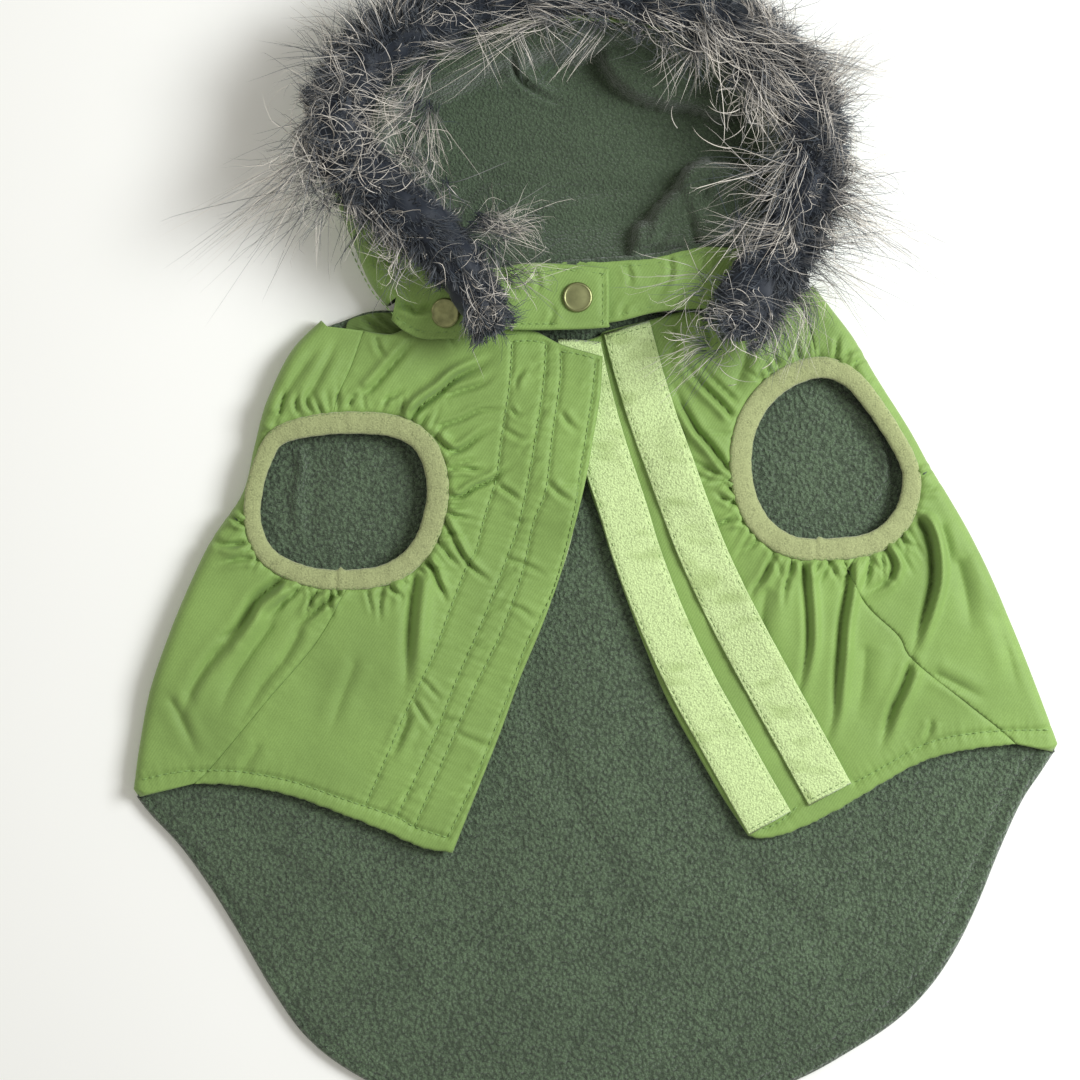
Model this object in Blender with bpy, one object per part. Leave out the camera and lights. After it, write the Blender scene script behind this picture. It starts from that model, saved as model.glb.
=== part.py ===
"""A dog jacket with a fur-trimmed hood, laid flat on its back.

The hood points along +Y, +X is the right of someone who looks down on it, and it lies on z = 0.
Tables and cloth sizes are in millimetres, and the objects are in metres.
"""
import math

import bmesh
import bpy
from mathutils import Vector
from mathutils.geometry import delaunay_2d_cdt

MM = 0.001

# Cloth thicknesses and gaps
GAP = 0.3            # between two pieces at a seam
LAYER_GAP = 0.5      # between two layers, measured upward
TAPE_GAP = 0.7       # between a tape and the cloth that it is sewn to, whose facets are larger
LEG_GAP = 0.7        # from a leg binding to the straight-sided edge round it
SHELL = 1.2          # quilted nylon
FLEECE = 2.2
FRONT = 3.0          # shell, wadding and lining, sewn as one
TAPE = 1.4
STRAP = 3.0          # chin strap, padded
BINDING = 3.4

# Sewn-on pieces
HOOK_WIDTH = 18.0
LOOP_WIDTH = 20.0
FUR_WIDTH = 32.0
FUR_DEPTH = 22.0

# Meshing
COARSE = 18.0        # grid pitch on the large flat pieces
FINE = 11.0          # grid pitch on the fronts and the hood
NARROW = 8.5         # grid pitch on tapes and straps
RING_PITCH = 5.0     # round the leg holes
FOLD_PITCH = 6.5     # along the side folds
FUR_PITCH = 16.0
CAP_SIDES = 18
TAIL_PITCH = 12.5
ROLL_STEPS = 5       # spans round a folded edge
FUR_SIDES = 10
ARC_CLEAR = 2.5      # least distance from a seam's end to the next point of the leg hole's edge
FOLD_CLEAR = 1.5     # least distance from a folded edge to a point of the leg hole's edge

# Side folds, from the neck to the hem. Columns: x, y, radius of the roll
FOLD_LEFT = (
    (-115.0, 91.0, 4.0), (-127.5, 78.0, 5.0), (-137.5, 57.5, 5.0), (-142.8, 39.0, 5.0), (-147.8, 19.0, 5.0),
    (-160.0, 0.5, 5.0), (-167.5, -14.0, 5.0), (-177.5, -37.5, 5.0), (-186.5, -63.5, 5.0), (-191.0, -86.5, 4.5),
    (-193.5, -105.0, 4.0))
FOLD_RIGHT = (
    (90.5, 105.5, 4.0), (98.5, 95.5, 4.5), (107.5, 83.5, 5.0), (114.5, 71.5, 5.0), (121.0, 61.0, 5.0),
    (127.5, 51.0, 5.0), (133.5, 41.0, 5.0), (140.0, 29.0, 5.0), (148.0, 16.0, 5.0), (156.5, 1.0, 5.0),
    (165.0, -16.5, 5.0), (175.0, -39.5, 5.0), (185.0, -64.5, 5.0), (193.0, -86.0, 4.0))

# Outline of the tail, from the left fold round to the right one. Columns: x, y
TAIL = (
    (-193.5, -107.0), (-187.0, -115.5), (-174.0, -129.5), (-161.0, -147.5), (-149.5, -166.0), (-136.0, -189.0),
    (-122.5, -208.0), (-105.5, -222.0), (-82.5, -233.5), (-53.0, -241.0), (-15.0, -244.5), (22.5, -243.5),
    (56.0, -237.5), (85.5, -226.5), (106.5, -215.0), (125.5, -202.5), (140.0, -188.0), (151.0, -171.5),
    (160.0, -153.0), (168.5, -132.0), (178.0, -111.0), (186.5, -98.0), (193.0, -88.0))
BACK_NECK = (
    (77.0, 99.5), (52.0, 96.0), (18.5, 93.5), (-15.0, 92.5), (-48.5, 93.0), (-76.0, 94.5), (-89.0, 95.3),
    (-97.0, 94.3), (-104.0, 91.5))
NECK_FACING = (
    (-104.0, 90.5), (-97.0, 93.3), (-89.0, 94.3), (-76.0, 93.5), (-60.0, 92.5), (-60.0, 79.0), (-80.0, 79.5),
    (-94.0, 79.5), (-104.0, 82.0))

# Edges of the left front: neck, free edge, hem and its two seams. Columns: x, y
LEFT_NECK = (
    (-97.0, 86.3), (-86.0, 85.0), (-77.0, 88.0), (-63.0, 90.0), (-48.5, 90.0), (-37.0, 88.0), (-25.5, 86.0),
    (-14.5, 80.5), (2.5, 75.5))
LEFT_FREE = (
    (2.5, 75.5), (1.5, 59.5), (-1.5, 41.0), (-4.5, 24.0), (-9.0, 5.5), (-15.0, -15.5), (-23.0, -37.5),
    (-32.0, -59.0), (-40.0, -81.0), (-49.5, -105.0), (-60.0, -131.5))
LEFT_HEM = (
    (-60.0, -131.5), (-73.5, -129.0), (-88.0, -122.5), (-107.0, -115.0), (-128.0, -107.5), (-148.5, -103.5),
    (-168.0, -102.5))
LEFT_SHOULDER_SEAM = ((-97.0, 86.3), (-102.5, 70.5), (-107.5, 59.5), (-110.5, 47.5))
LEFT_SIDE_SEAM = ((-101.0, -15.0), (-116.0, -42.5), (-137.0, -67.5), (-161.0, -96.0), (-168.0, -102.5))

# Edges of the right front, in the same order. Columns: x, y
RIGHT_NECK = (
    (83.0, 101.5), (68.5, 99.0), (51.5, 96.5), (35.0, 94.5), (21.5, 91.0), (3.5, 86.5), (0.0, 84.0), (-17.0, 80.0))
RIGHT_FREE = (
    (-17.0, 80.0), (-14.0, 64.0), (-9.5, 45.0), (-4.0, 24.0), (1.5, 8.0), (6.5, -8.0), (13.0, -26.5),
    (21.0, -47.5), (30.0, -68.5), (42.0, -90.0), (52.5, -108.0), (63.5, -124.5))
RIGHT_HEM = (
    (63.5, -124.5), (71.5, -125.5), (85.0, -121.5), (102.0, -113.0), (118.5, -103.0), (135.0, -94.0),
    (152.0, -89.0), (175.0, -86.0))
RIGHT_SHOULDER_SEAM = ((83.0, 101.5), (88.5, 88.0), (91.0, 77.0), (91.5, 68.5))
RIGHT_SIDE_SEAM = (
    (100.0, -2.0), (111.0, -26.0), (125.5, -40.5), (131.5, -50.5), (152.5, -67.5), (168.5, -80.0), (175.0, -86.0))

# Middle of each leg binding, clockwise from the shoulder seam. Columns: x, y, half of the width
LEG_LEFT = (
    (-102.5, 48.0, 4.4), (-84.0, 46.5, 4.4), (-72.0, 39.5, 4.4), (-66.5, 26.0, 4.4), (-67.0, 11.0, 4.4),
    (-73.5, -5.0, 4.3), (-87.0, -15.0, 4.1), (-107.0, -17.5, 4.0), (-123.5, -15.0, 3.8), (-137.0, -7.5, 3.5),
    (-143.0, 5.0, 3.3), (-142.8, 18.5, 3.3), (-139.2, 31.5, 3.3), (-133.0, 42.0, 3.6), (-119.5, 46.5, 4.2))
LEG_RIGHT = (
    (95.0, 71.0, 4.2), (106.0, 66.4, 3.8), (115.4, 55.5, 3.6), (123.8, 43.0, 3.4), (129.8, 31.7, 3.4),
    (131.3, 21.5, 3.7), (127.5, 8.5, 4.2), (116.5, -1.5, 4.4), (100.5, -4.5, 4.4), (82.5, -4.0, 4.4),
    (70.0, 3.5, 4.4), (62.5, 16.0, 4.4), (60.0, 31.5, 4.4), (62.5, 47.0, 4.4), (70.5, 60.0, 4.4),
    (82.5, 68.5, 4.4))

# Middle lines of the tapes, from the neck to the hem. Columns: x, y
TAPE_LINES = {
    "hook_tape_1": ((-28.0, 80.0), (-30.0, 57.5), (-35.0, 32.5), (-39.0, 11.5), (-44.0, -5.0), (-51.0, -26.0),
                    (-59.5, -43.5), (-69.5, -67.5), (-81.0, -92.0), (-90.0, -111.0)),
    "hook_tape_2": ((-8.0, 75.0), (-9.5, 57.5), (-13.0, 32.5), (-17.0, 11.5), (-21.0, -5.0), (-28.5, -26.0),
                    (-36.0, -43.5), (-45.5, -67.5), (-55.5, -92.0), (-66.0, -117.0)),
    "loop_tape_1": ((-8.0, 79.5), (-4.5, 64.0), (0.5, 45.0), (6.0, 27.5), (11.5, 11.0), (16.5, -5.5), (23.5, -24.5),
                    (31.5, -43.5), (41.0, -63.0), (52.5, -83.5), (62.5, -101.5), (72.5, -119.0)),
    "loop_tape_2": ((12.5, 88.0), (18.5, 66.0), (24.5, 47.0), (30.5, 30.5), (37.0, 12.5), (44.5, -6.5),
                    (53.5, -26.0), (63.0, -44.5), (73.5, -63.5), (86.0, -86.0), (97.5, -107.0)),
}

# Height of the top cloth at a few places, which the cloth between blends. Columns: place, x, y, height
TOP_LEFT = (
    ("neck at the fold", -110.0, 88.0, 11.0), ("collar", -62.0, 86.0, 11.2), ("shoulder", -120.0, 62.0, 13.0),
    ("above the leg hole", -88.0, 62.0, 12.6), ("beside the leg hole", -55.0, 28.0, 12.4),
    ("tape at the neck", -26.0, 76.0, 14.6), ("free corner", -2.0, 74.0, 15.6), ("placket", -8.0, 48.0, 15.6),
    ("crossing", -8.0, 22.0, 15.6), ("below the crossing", -24.0, -16.0, 10.8),
    ("under the leg hole", -98.0, -34.0, 12.8), ("side", -152.0, -48.0, 12.0), ("outside the hole", -146.0, 20.0, 11.5),
    ("low placket", -48.0, -82.0, 9.6), ("middle", -92.0, -84.0, 10.2), ("hem", -98.0, -116.0, 9.5),
    ("hem at the fold", -180.0, -100.0, 9.4))
TOP_RIGHT = (
    ("neck at the fold", 88.0, 100.0, 11.4), ("collar", 55.0, 88.0, 10.6), ("shoulder", 108.0, 76.0, 12.4),
    ("free corner", -10.0, 72.0, 7.4), ("tapes at the neck", 16.0, 70.0, 7.8), ("free edge", 2.0, 26.0, 7.4),
    ("middle of the tapes", 30.0, -10.0, 7.6), ("beside the leg hole", 48.0, 30.0, 11.6),
    ("under the leg hole", 98.0, -22.0, 12.6), ("outside the hole", 136.0, 30.0, 11.5), ("side", 150.0, -30.0, 12.6),
    ("knot of the seam", 133.0, -52.0, 11.8), ("low tapes", 62.0, -92.0, 7.6), ("hem", 92.0, -112.0, 7.9),
    ("low side", 125.0, -86.0, 9.2), ("hem at the fold", 182.0, -82.0, 9.4))
TOP_REACH = 18.0     # how far each place's height carries

HOOD_SIDE = 17.0     # least height of the hood's upper layer
HOOD_SLOPE = 0.3     # fall of the upper layer away from the rim

# Outside edge of the hood, from the right of the neck over the crown to the left. Columns: x, y, radius of the roll
HOOD_FOLD = (
    (83.0, 114.0, 6.0), (89.5, 129.0, 6.0), (93.5, 151.0, 6.0), (89.5, 175.5, 6.0), (76.0, 198.0, 6.0),
    (55.5, 214.5, 6.0), (30.5, 224.0, 6.0), (1.5, 227.5, 6.0), (-27.5, 226.0, 6.0), (-57.0, 220.0, 6.0),
    (-81.5, 210.0, 6.0), (-100.5, 195.5, 6.0), (-110.5, 177.0, 6.0), (-112.0, 157.0, 6.0), (-107.5, 138.5, 6.0),
    (-101.5, 123.0, 6.0), (-95.0, 107.0, 6.0), (-87.5, 96.5, 5.5))
# Rim of the face opening, clockwise from the left of the throat. Columns: x, y, height
RIM = (
    (-45.5, 83.0, 24.7), (-51.0, 100.0, 24.7), (-62.0, 118.0, 24.7), (-76.5, 133.0, 24.5), (-90.0, 146.0, 24.5),
    (-98.0, 159.0, 24.5), (-99.0, 172.5, 24.5), (-92.5, 187.0, 24.5), (-78.5, 199.0, 24.5), (-54.5, 208.0, 24.5),
    (-23.5, 213.0, 24.5), (5.5, 213.0, 24.5), (32.0, 208.0, 24.5), (53.5, 197.0, 24.5), (69.5, 181.5, 24.5),
    (79.0, 162.0, 24.0), (79.5, 141.5, 23.2), (74.5, 123.0, 21.7), (66.5, 104.5, 21.3), (58.5, 90.0, 21.3),
    (52.0, 80.5, 21.3))
RIGHT_CHEEK = ((52.0, 80.5), (62.5, 88.5), (74.0, 98.5), (80.5, 106.5))
LEFT_CHEEK = ((-85.0, 90.5), (-78.5, 85.2), (-69.0, 82.4), (-45.5, 83.0))
HOOD_NECK = ((-80.0, 96.0), (-48.5, 94.0), (-15.0, 93.5), (18.5, 94.5), (52.0, 97.0), (73.0, 101.0))

# Chin strap: the heights of its band and its tab, and their outlines, clockwise. Columns: x, y
BAND_TOP = 17.0
TAB_TOP = 20.3
BAND = (
    (-17.0, 113.0), (5.5, 115.0), (24.0, 116.5), (44.5, 121.0), (72.0, 118.0), (66.0, 104.5), (61.5, 96.5),
    (39.5, 95.0), (24.0, 93.5), (6.5, 89.5), (-17.0, 88.5))
TAB = (
    (-57.0, 110.0), (-40.0, 112.0), (-25.5, 114.0), (2.5, 112.0), (5.0, 109.0), (5.0, 90.0), (3.0, 87.0),
    (-23.5, 86.0), (-40.0, 86.5), (-47.0, 88.5), (-51.0, 100.0))

# Middle of the fur trim, from the left of the throat round to the right. Columns: x, y
FUR = (
    (-43.0, 88.0), (-52.0, 101.5), (-62.5, 118.5), (-77.0, 133.0), (-93.0, 146.0), (-104.0, 159.0),
    (-106.0, 172.5), (-101.5, 186.5), (-89.0, 200.5), (-71.0, 211.5), (-46.0, 221.0), (-13.0, 226.5),
    (19.5, 223.5), (44.5, 214.5), (64.5, 202.0), (79.0, 187.5), (87.5, 171.0), (88.5, 154.5), (85.5, 138.0),
    (77.5, 121.0), (67.0, 104.5), (59.0, 92.0), (53.5, 82.0))

# Snap caps: their middles, and their profile. Columns: radius, height
CAP_CHEEK = (-62.5, 93.0)
CAP_TAB = (-8.0, 99.5)
CAP_SEAT = 0.4       # over the cloth
CAP_PROFILE = ((6.25, 0.0), (6.25, 0.8), (5.7, 1.4), (5.1, 1.5), (4.7, 1.2), (2.4, 1.5))


# ---------------------------------------------------------------- curves

def curve(points, steps=10, closed=False):
    """Catmull-Rom curve through the rows of a table, with every column carried along."""
    rows = [Vector(p) for p in points]
    count = len(rows)
    out = []
    for i in range(count if closed else count - 1):
        before, start, end, after = (
            rows[k % count] if closed else rows[min(max(k, 0), count - 1)] for k in range(i - 1, i + 3))
        for step in range(steps):
            t = step / steps
            out.append(0.5 * (2 * start + (end - before) * t + (2 * before - 5 * start + 4 * end - after) * t ** 2
                              + (3 * start - before - 3 * end + after) * t ** 3))
    out.append(rows[0].copy() if closed else rows[-1].copy())
    return out


def spaced(points, pitch, closed=False):
    """The same curve as evenly spaced rows, about pitch apart; a closed one doesn't repeat its first row."""
    fine = curve(points, closed=closed)
    lengths = [0.0]
    for a, b in zip(fine, fine[1:]):
        lengths.append(lengths[-1] + (b.xy - a.xy).length)
    parts = max(2, round(lengths[-1] / pitch))
    out = []
    k = 0
    for i in range(parts if closed else parts + 1):
        goal = lengths[-1] * i / parts
        while k < len(fine) - 2 and lengths[k + 1] < goal:
            k += 1
        t = (goal - lengths[k]) / max(lengths[k + 1] - lengths[k], 1e-9)
        out.append(fine[k].lerp(fine[k + 1], min(t, 1.0)))
    return out


def left_normals(line, closed=False):
    """Unit normals in the plane, to the left of the way the line runs."""
    count = len(line)
    out = []
    for i in range(count):
        a = line[(i - 1) % count] if closed else line[max(i - 1, 0)]
        b = line[(i + 1) % count] if closed else line[min(i + 1, count - 1)]
        along = (b.xy - a.xy).normalized()
        out.append(Vector((-along.y, along.x)))
    return out


def offset(line, distance, closed=False):
    """The line moved sideways in the plane, to its left where distance is positive."""
    return [p.xy + n * distance for p, n in zip(line, left_normals(line, closed))]


def nearest(line, point):
    """The nearest place on a line, with its columns, and how far it is."""
    best, best_distance = None, math.inf
    for a, b in zip(line, line[1:]):
        span = b.xy - a.xy
        t = max(0.0, min(1.0, (point - a.xy).dot(span) / max(span.length_squared, 1e-12)))
        place = a.lerp(b, t)
        distance = (place.xy - point).length
        if distance < best_distance:
            best, best_distance = place, distance
    return best, best_distance


def inside(point, outline):
    """Whether a point lies in a closed outline."""
    odd = False
    for a, b in zip(outline, outline[1:] + outline[:1]):
        if (a.y > point.y) != (b.y > point.y):
            if point.x < a.x + (b.x - a.x) * (point.y - a.y) / (b.y - a.y):
                odd = not odd
    return odd


def trimmed(line, hole):
    """The part of a line before it runs into a hole, ending on the hole's edge."""
    out = []
    for p in line:
        if inside(p, hole):
            break
        out.append(p)
    kept, lost = out[-1].copy(), p.copy()
    while (lost - kept).length > 0.001:
        middle = (kept + lost) / 2
        if inside(middle, hole):
            lost = middle
        else:
            kept = middle
    return out + [kept]


def arc(ring, start, end, clear):
    """Points of a ring after start and before end, in the ring's own order, none nearer them than clear."""
    first = min(range(len(ring)), key=lambda i: (ring[i] - start).length)
    last = min(range(len(ring)), key=lambda i: (ring[i] - end).length)
    if last <= first:
        last += len(ring)
    picked = [ring[i % len(ring)] for i in range(first, last + 1)]
    return [p for p in picked if (p - start).length > clear and (p - end).length > clear]


# ---------------------------------------------------------------- sheets

def fill(outline, pitch):
    """Points and triangles that fill a flat outline, with inner points on a triangular grid.

    Each point comes with the number of the outline's point that it is, or None.
    """
    low = Vector((min(p.x for p in outline), min(p.y for p in outline)))
    high = Vector((max(p.x for p in outline), max(p.y for p in outline)))
    edge = outline + outline[:1]
    row_height = pitch * math.sin(math.radians(60))
    inner = []
    for row in range(int((high.y - low.y) / row_height) + 1):
        for column in range(int((high.x - low.x) / pitch) + 1):
            p = low + Vector(((column + 0.5 * (row % 2)) * pitch, row * row_height))
            if inside(p, outline) and nearest(edge, p)[1] > 0.55 * pitch:
                inner.append(p)
    count = len(outline)
    loop = [(i, (i + 1) % count) for i in range(count)]
    points, _, faces, origins, *_ = delaunay_2d_cdt(outline + inner, loop, [], 1, 1e-5)
    numbers = [next((i for i in found if i < count), None) for found in origins]
    return points, faces, numbers


class Sheet:
    """A sheet of cloth in millimetres, whose patches share their edge points."""

    def __init__(self):
        self.mesh = bmesh.new()

    def patch(self, outline, pitch, height, up=True):
        """Fill an outline. Its points with a z of their own keep it, and the rest lie at height."""
        points, faces, numbers = fill([p.xy for p in outline], pitch)
        verts = {}
        for i in {i for face in faces for i in face}:
            own = numbers[i] is not None and len(outline[numbers[i]]) == 3
            z = outline[numbers[i]].z if own else height(points[i])
            verts[i] = self.mesh.verts.new((*points[i], z))
        for face in faces:
            made = self.mesh.faces.new([verts[i] for i in face])
            made.normal_update()
            if (made.normal.z > 0) != up:
                made.normal_flip()

    def strip(self, rows, closed=False):
        """Quads between rows of points, with the row's first point low and the normals on the row's right."""
        made = [[self.mesh.verts.new(p) for p in row] for row in rows]
        for a, b in zip(made, made[1:] + (made[:1] if closed else [])):
            for k in range(len(a) - 1):
                self.mesh.faces.new((a[k], b[k], b[k + 1], a[k + 1]))

    def finish(self, name, thickness, material, up):
        """Make the object, with the sheet as its outer side and its thickness inward."""
        bmesh.ops.remove_doubles(self.mesh, verts=self.mesh.verts, dist=0.01)
        bmesh.ops.recalc_face_normals(self.mesh, faces=self.mesh.faces)
        self.mesh.normal_update()
        flattest = max(self.mesh.faces, key=lambda face: face.calc_area() * abs(face.normal.z))
        if (flattest.normal.z > 0) != up:
            bmesh.ops.reverse_faces(self.mesh, faces=self.mesh.faces)
        bmesh.ops.scale(self.mesh, vec=(MM, MM, MM), verts=self.mesh.verts)
        made = add_object(name, self.mesh, material)
        solidify = made.modifiers.new("Thickness", "SOLIDIFY")
        solidify.thickness = thickness * MM
        solidify.offset = -1.0
        return made


def add_object(name, built, material):
    """Link a bmesh as a smooth-shaded object with its material."""
    mesh = bpy.data.meshes.new(name)
    built.to_mesh(mesh)
    built.free()
    made = bpy.data.objects.new(name, mesh)
    bpy.context.scene.collection.objects.link(made)
    mesh.materials.append(material)
    mesh.shade_smooth()
    mesh.set_sharp_from_angle(angle=math.radians(40))
    return made


def cloth(name, outline, pitch, height, thickness, material):
    """A single-layer piece, its top at height and its thickness below."""
    sheet = Sheet()
    sheet.patch(outline, pitch, height)
    return sheet.finish(name, thickness, material, up=True)


def tube(name, rows, material, closed):
    """A closed skin over rows of points; an open tube gets flat ends."""
    built = bmesh.new()
    made = [[built.verts.new(p) for p in row] for row in rows]
    for a, b in zip(made, made[1:] + (made[:1] if closed else [])):
        for k in range(len(a)):
            n = (k + 1) % len(a)
            built.faces.new((a[k], a[n], b[n], b[k]))
    if not closed:
        built.faces.new(made[0])
        built.faces.new(made[-1])
    bmesh.ops.recalc_face_normals(built, faces=built.faces)
    bmesh.ops.scale(built, vec=(MM, MM, MM), verts=built.verts)
    return add_object(name, built, material)


# ---------------------------------------------------------------- heights

def blended(table):
    """Height of the top cloth, blended from the named places of a table."""
    def height(p):
        total = weights = 0.0
        for _, x, y, z in table:
            weight = 1.0 / (1.0 + ((p.x - x) ** 2 + (p.y - y) ** 2) / TOP_REACH ** 2) ** 2.5
            total += weight * z
            weights += weight
        return total / weights
    return height


def lowered(height, drop):
    return lambda p: height(p) - drop


def flat(z):
    return lambda p: z


left_top = blended(TOP_LEFT)
right_top = blended(TOP_RIGHT)
RIM_CURVE = curve(RIM)


def hood_top(p):
    """Height of the hood's upper layer: the rim's, less a slope, and never under the sides'."""
    rim, distance = nearest(RIM_CURVE, p.xy)
    return max(HOOD_SIDE, rim.z - HOOD_SLOPE * distance)


# ---------------------------------------------------------------- folds

def room(place, across, reach, hole):
    """How far the cloth can run inward from the fold and stay clear of a leg hole, up to reach."""
    steps = 40  # an eighth of a millimetre each
    for step in range(steps):
        if inside(place + across * reach * step / steps, hole):
            return max(reach * step / steps - SHELL, 0.0)
    return reach


def fold_rows(table, pitch, top, inward, hole=(), inset=0.0):
    """Sections round a folded edge, from the lower layer to the upper one.

    Where a leg hole reaches the fold, the cloth ends on the hole's edge.
    """
    line = spaced(table, pitch)
    rows = []
    for place, normal in zip(line, left_normals(line)):
        across = normal * inward
        centre = place.xy + across * place.z
        half = top(centre) / 2
        end = math.degrees(math.acos(1 - room(place.xy, across, place.z, list(hole)) / place.z))
        row = []
        for k in range(ROLL_STEPS + 1):
            turn = math.radians(-90 + (end + 90) * k / ROLL_STEPS)
            flat_place = centre - across * (place.z - inset) * math.cos(turn)
            row.append(Vector((*flat_place, half + (half - inset) * math.sin(turn))))
        rows.append(row)
    return rows


# ---------------------------------------------------------------- pieces

def leg_edge(table):
    """Edge of the cloth round a leg binding, clockwise, a little outside the binding."""
    ring = spaced(table, RING_PITCH, closed=True)
    return [p.xy + n * (p.z + LEG_GAP) for p, n in zip(ring, left_normals(ring, closed=True))]


def seam_edges(seam, hole):
    """The seam's left and right edges as it runs towards the leg hole, each ended on the hole."""
    line = spaced(seam, NARROW)
    return [trimmed(offset(line, GAP / 2 * way), hole) for way in (1, -1)]


def wraps(sheet, rows, hole, shoulder, side, top, clockwise):
    """The two parts of the back that lie on top, over and under the leg hole."""
    full = [abs(row[-1].z - top(row[-1])) < 0.01 for row in rows]
    first = full.index(False)
    last = len(full) - full[::-1].index(False) - 1
    fold_edge = [row[-1] for row in rows]
    upper_line = fold_edge[:first + 1]
    lower_line = fold_edge[last:]
    ring = [p for p in (hole if clockwise else hole[::-1]) if nearest(fold_edge, p)[1] > FOLD_CLEAR]
    over = upper_line + arc(ring, upper_line[-1].xy, shoulder[-1], ARC_CLEAR) + shoulder[::-1]
    under = lower_line + side + arc(ring, side[-1], lower_line[0].xy, ARC_CLEAR)
    sheet.patch(over, FINE, top)
    sheet.patch(under, FINE, top)


def make_back(shell, fleece):
    """The back panel with both wraps, and the fleece on its inner side."""
    left_hole = leg_edge(LEG_LEFT)
    right_hole = leg_edge(LEG_RIGHT)
    left_rows = fold_rows(FOLD_LEFT, FOLD_PITCH, left_top, 1, left_hole)
    right_rows = fold_rows(FOLD_RIGHT, FOLD_PITCH, right_top, -1, right_hole)
    left_base = [row[0].xy for row in left_rows]
    right_base = [row[0].xy for row in right_rows]
    neck = spaced(BACK_NECK, COARSE)
    tail = spaced(TAIL, TAIL_PITCH)
    back = Sheet()
    back.patch(left_base + tail + right_base[::-1] + neck, COARSE, flat(0.0), up=False)
    back.strip(left_rows)
    back.strip(right_rows)
    wraps(back, left_rows, left_hole, seam_edges(LEFT_SHOULDER_SEAM, left_hole)[1],
          seam_edges(LEFT_SIDE_SEAM[::-1], left_hole)[0], left_top, True)
    wraps(back, right_rows, right_hole, seam_edges(RIGHT_SHOULDER_SEAM, right_hole)[0],
          seam_edges(RIGHT_SIDE_SEAM[::-1], right_hole)[1], right_top, False)
    back.finish("back_shell", SHELL, shell, up=False)
    lining_top = SHELL + LAYER_GAP + FLEECE
    cloth("back_lining", left_base + offset(tail, 1.0) + right_base[::-1] + neck, COARSE, flat(lining_top), FLEECE,
          fleece)
    cloth("neck_facing", [Vector(p) for p in NECK_FACING], NARROW, flat(lining_top + LAYER_GAP + SHELL), SHELL, shell)


def make_front(name, neck, free, hem, shoulder, side, hole, top, clockwise, material):
    """A front panel between its seams, its neck, its free edge and its hem."""
    shoulder_edge = seam_edges(shoulder, hole)[1 if clockwise else 0]
    side_edge = seam_edges(side[::-1], hole)[0 if clockwise else 1]
    ring = hole if clockwise else hole[::-1]
    outline = (spaced(neck, FINE)[1:-1] + spaced(free, FINE) + spaced(hem, FINE)[1:-1] + side_edge
               + arc(ring, side_edge[-1], shoulder_edge[-1], ARC_CLEAR) + shoulder_edge[::-1])
    cloth(name, outline, FINE, top, FRONT, material)


def make_binding(name, table, top, material):
    """A folded band round a leg hole."""
    ring = spaced(table, RING_PITCH, closed=True)
    rows = []
    for place, normal in zip(ring, left_normals(ring, closed=True)):
        centre = top(place) - BINDING / 2
        row = []
        for across, up in ((1, 0), (0.7, 1), (-0.7, 1), (-1, 0), (-0.7, -1), (0.7, -1)):
            row.append(Vector((*(place.xy + normal * place.z * across), centre + up * BINDING / 2)))
        rows.append(row)
    tube(name, rows, material, closed=True)


def make_tape(name, width, height, material):
    """A tape along its middle line."""
    line = spaced(TAPE_LINES[name], NARROW)
    outline = offset(line, width / 2) + offset(line, -width / 2)[::-1]
    cloth(name, outline, NARROW, height, TAPE, material)


def hood_layer(name, inset, thickness, material):
    """One layer of the hood: lower side, folded edge and upper side round the face opening."""
    rows = fold_rows(HOOD_FOLD, FINE, hood_top, 1, inset=inset)
    base = [row[0].xy for row in rows]
    crest = [row[-1].xy for row in rows]
    rim = [p.xy for p in spaced(RIM, NARROW)]
    sheet = Sheet()
    sheet.strip(rows)
    sheet.patch(base + spaced(HOOD_NECK, COARSE), COARSE, flat(inset), up=False)
    sheet.patch(crest + spaced(LEFT_CHEEK, NARROW)[:-1] + rim + spaced(RIGHT_CHEEK, NARROW)[1:], FINE,
                lowered(hood_top, inset))
    sheet.finish(name, thickness, material, up=False)


def make_fur(material):
    """The reach of the fur along the rim, narrower at its two ends."""
    line = spaced(FUR, FUR_PITCH)
    rows = []
    for i, (place, normal) in enumerate(zip(line, left_normals(line))):
        rim = nearest(RIM_CURVE, place.xy)[0].z
        size = min(1.0, 0.7 + 0.15 * min(i, len(line) - 1 - i))
        centre = rim + GAP + FUR_DEPTH / 2
        row = []
        for k in range(FUR_SIDES):
            turn = math.tau * k / FUR_SIDES
            side = place.xy + normal * math.cos(turn) * FUR_WIDTH / 2 * size
            row.append(Vector((*side, centre + math.sin(turn) * FUR_DEPTH / 2 * size)))
        rows.append(row)
    tube("fur_trim", rows, material, closed=False)


def make_cap(name, place, top, material):
    """A snap cap seated on the cloth, tilted as the cloth is."""
    at = Vector(place)
    step = 4.0  # reach over which the slope is taken
    slope = Vector((top(at + Vector((-step, 0))) - top(at + Vector((step, 0))),
                    top(at + Vector((0, -step))) - top(at + Vector((0, step))), 2 * step))
    built = bmesh.new()
    rings = []
    for radius, height in CAP_PROFILE:
        turns = [math.tau * k / CAP_SIDES for k in range(CAP_SIDES)]
        rings.append([built.verts.new((radius * math.cos(t), radius * math.sin(t), height)) for t in turns])
    for a, b in zip(rings, rings[1:]):
        for k in range(CAP_SIDES):
            n = (k + 1) % CAP_SIDES
            built.faces.new((a[k], a[n], b[n], b[k]))
    built.faces.new(rings[0][::-1])
    built.faces.new(rings[-1])
    bmesh.ops.scale(built, vec=(MM, MM, MM), verts=built.verts)
    cap = add_object(name, built, material)
    cap.rotation_euler = slope.to_track_quat("Z", "Y").to_euler()
    cap.location = (at.x * MM, at.y * MM, (top(at) + CAP_SEAT) * MM)


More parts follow.
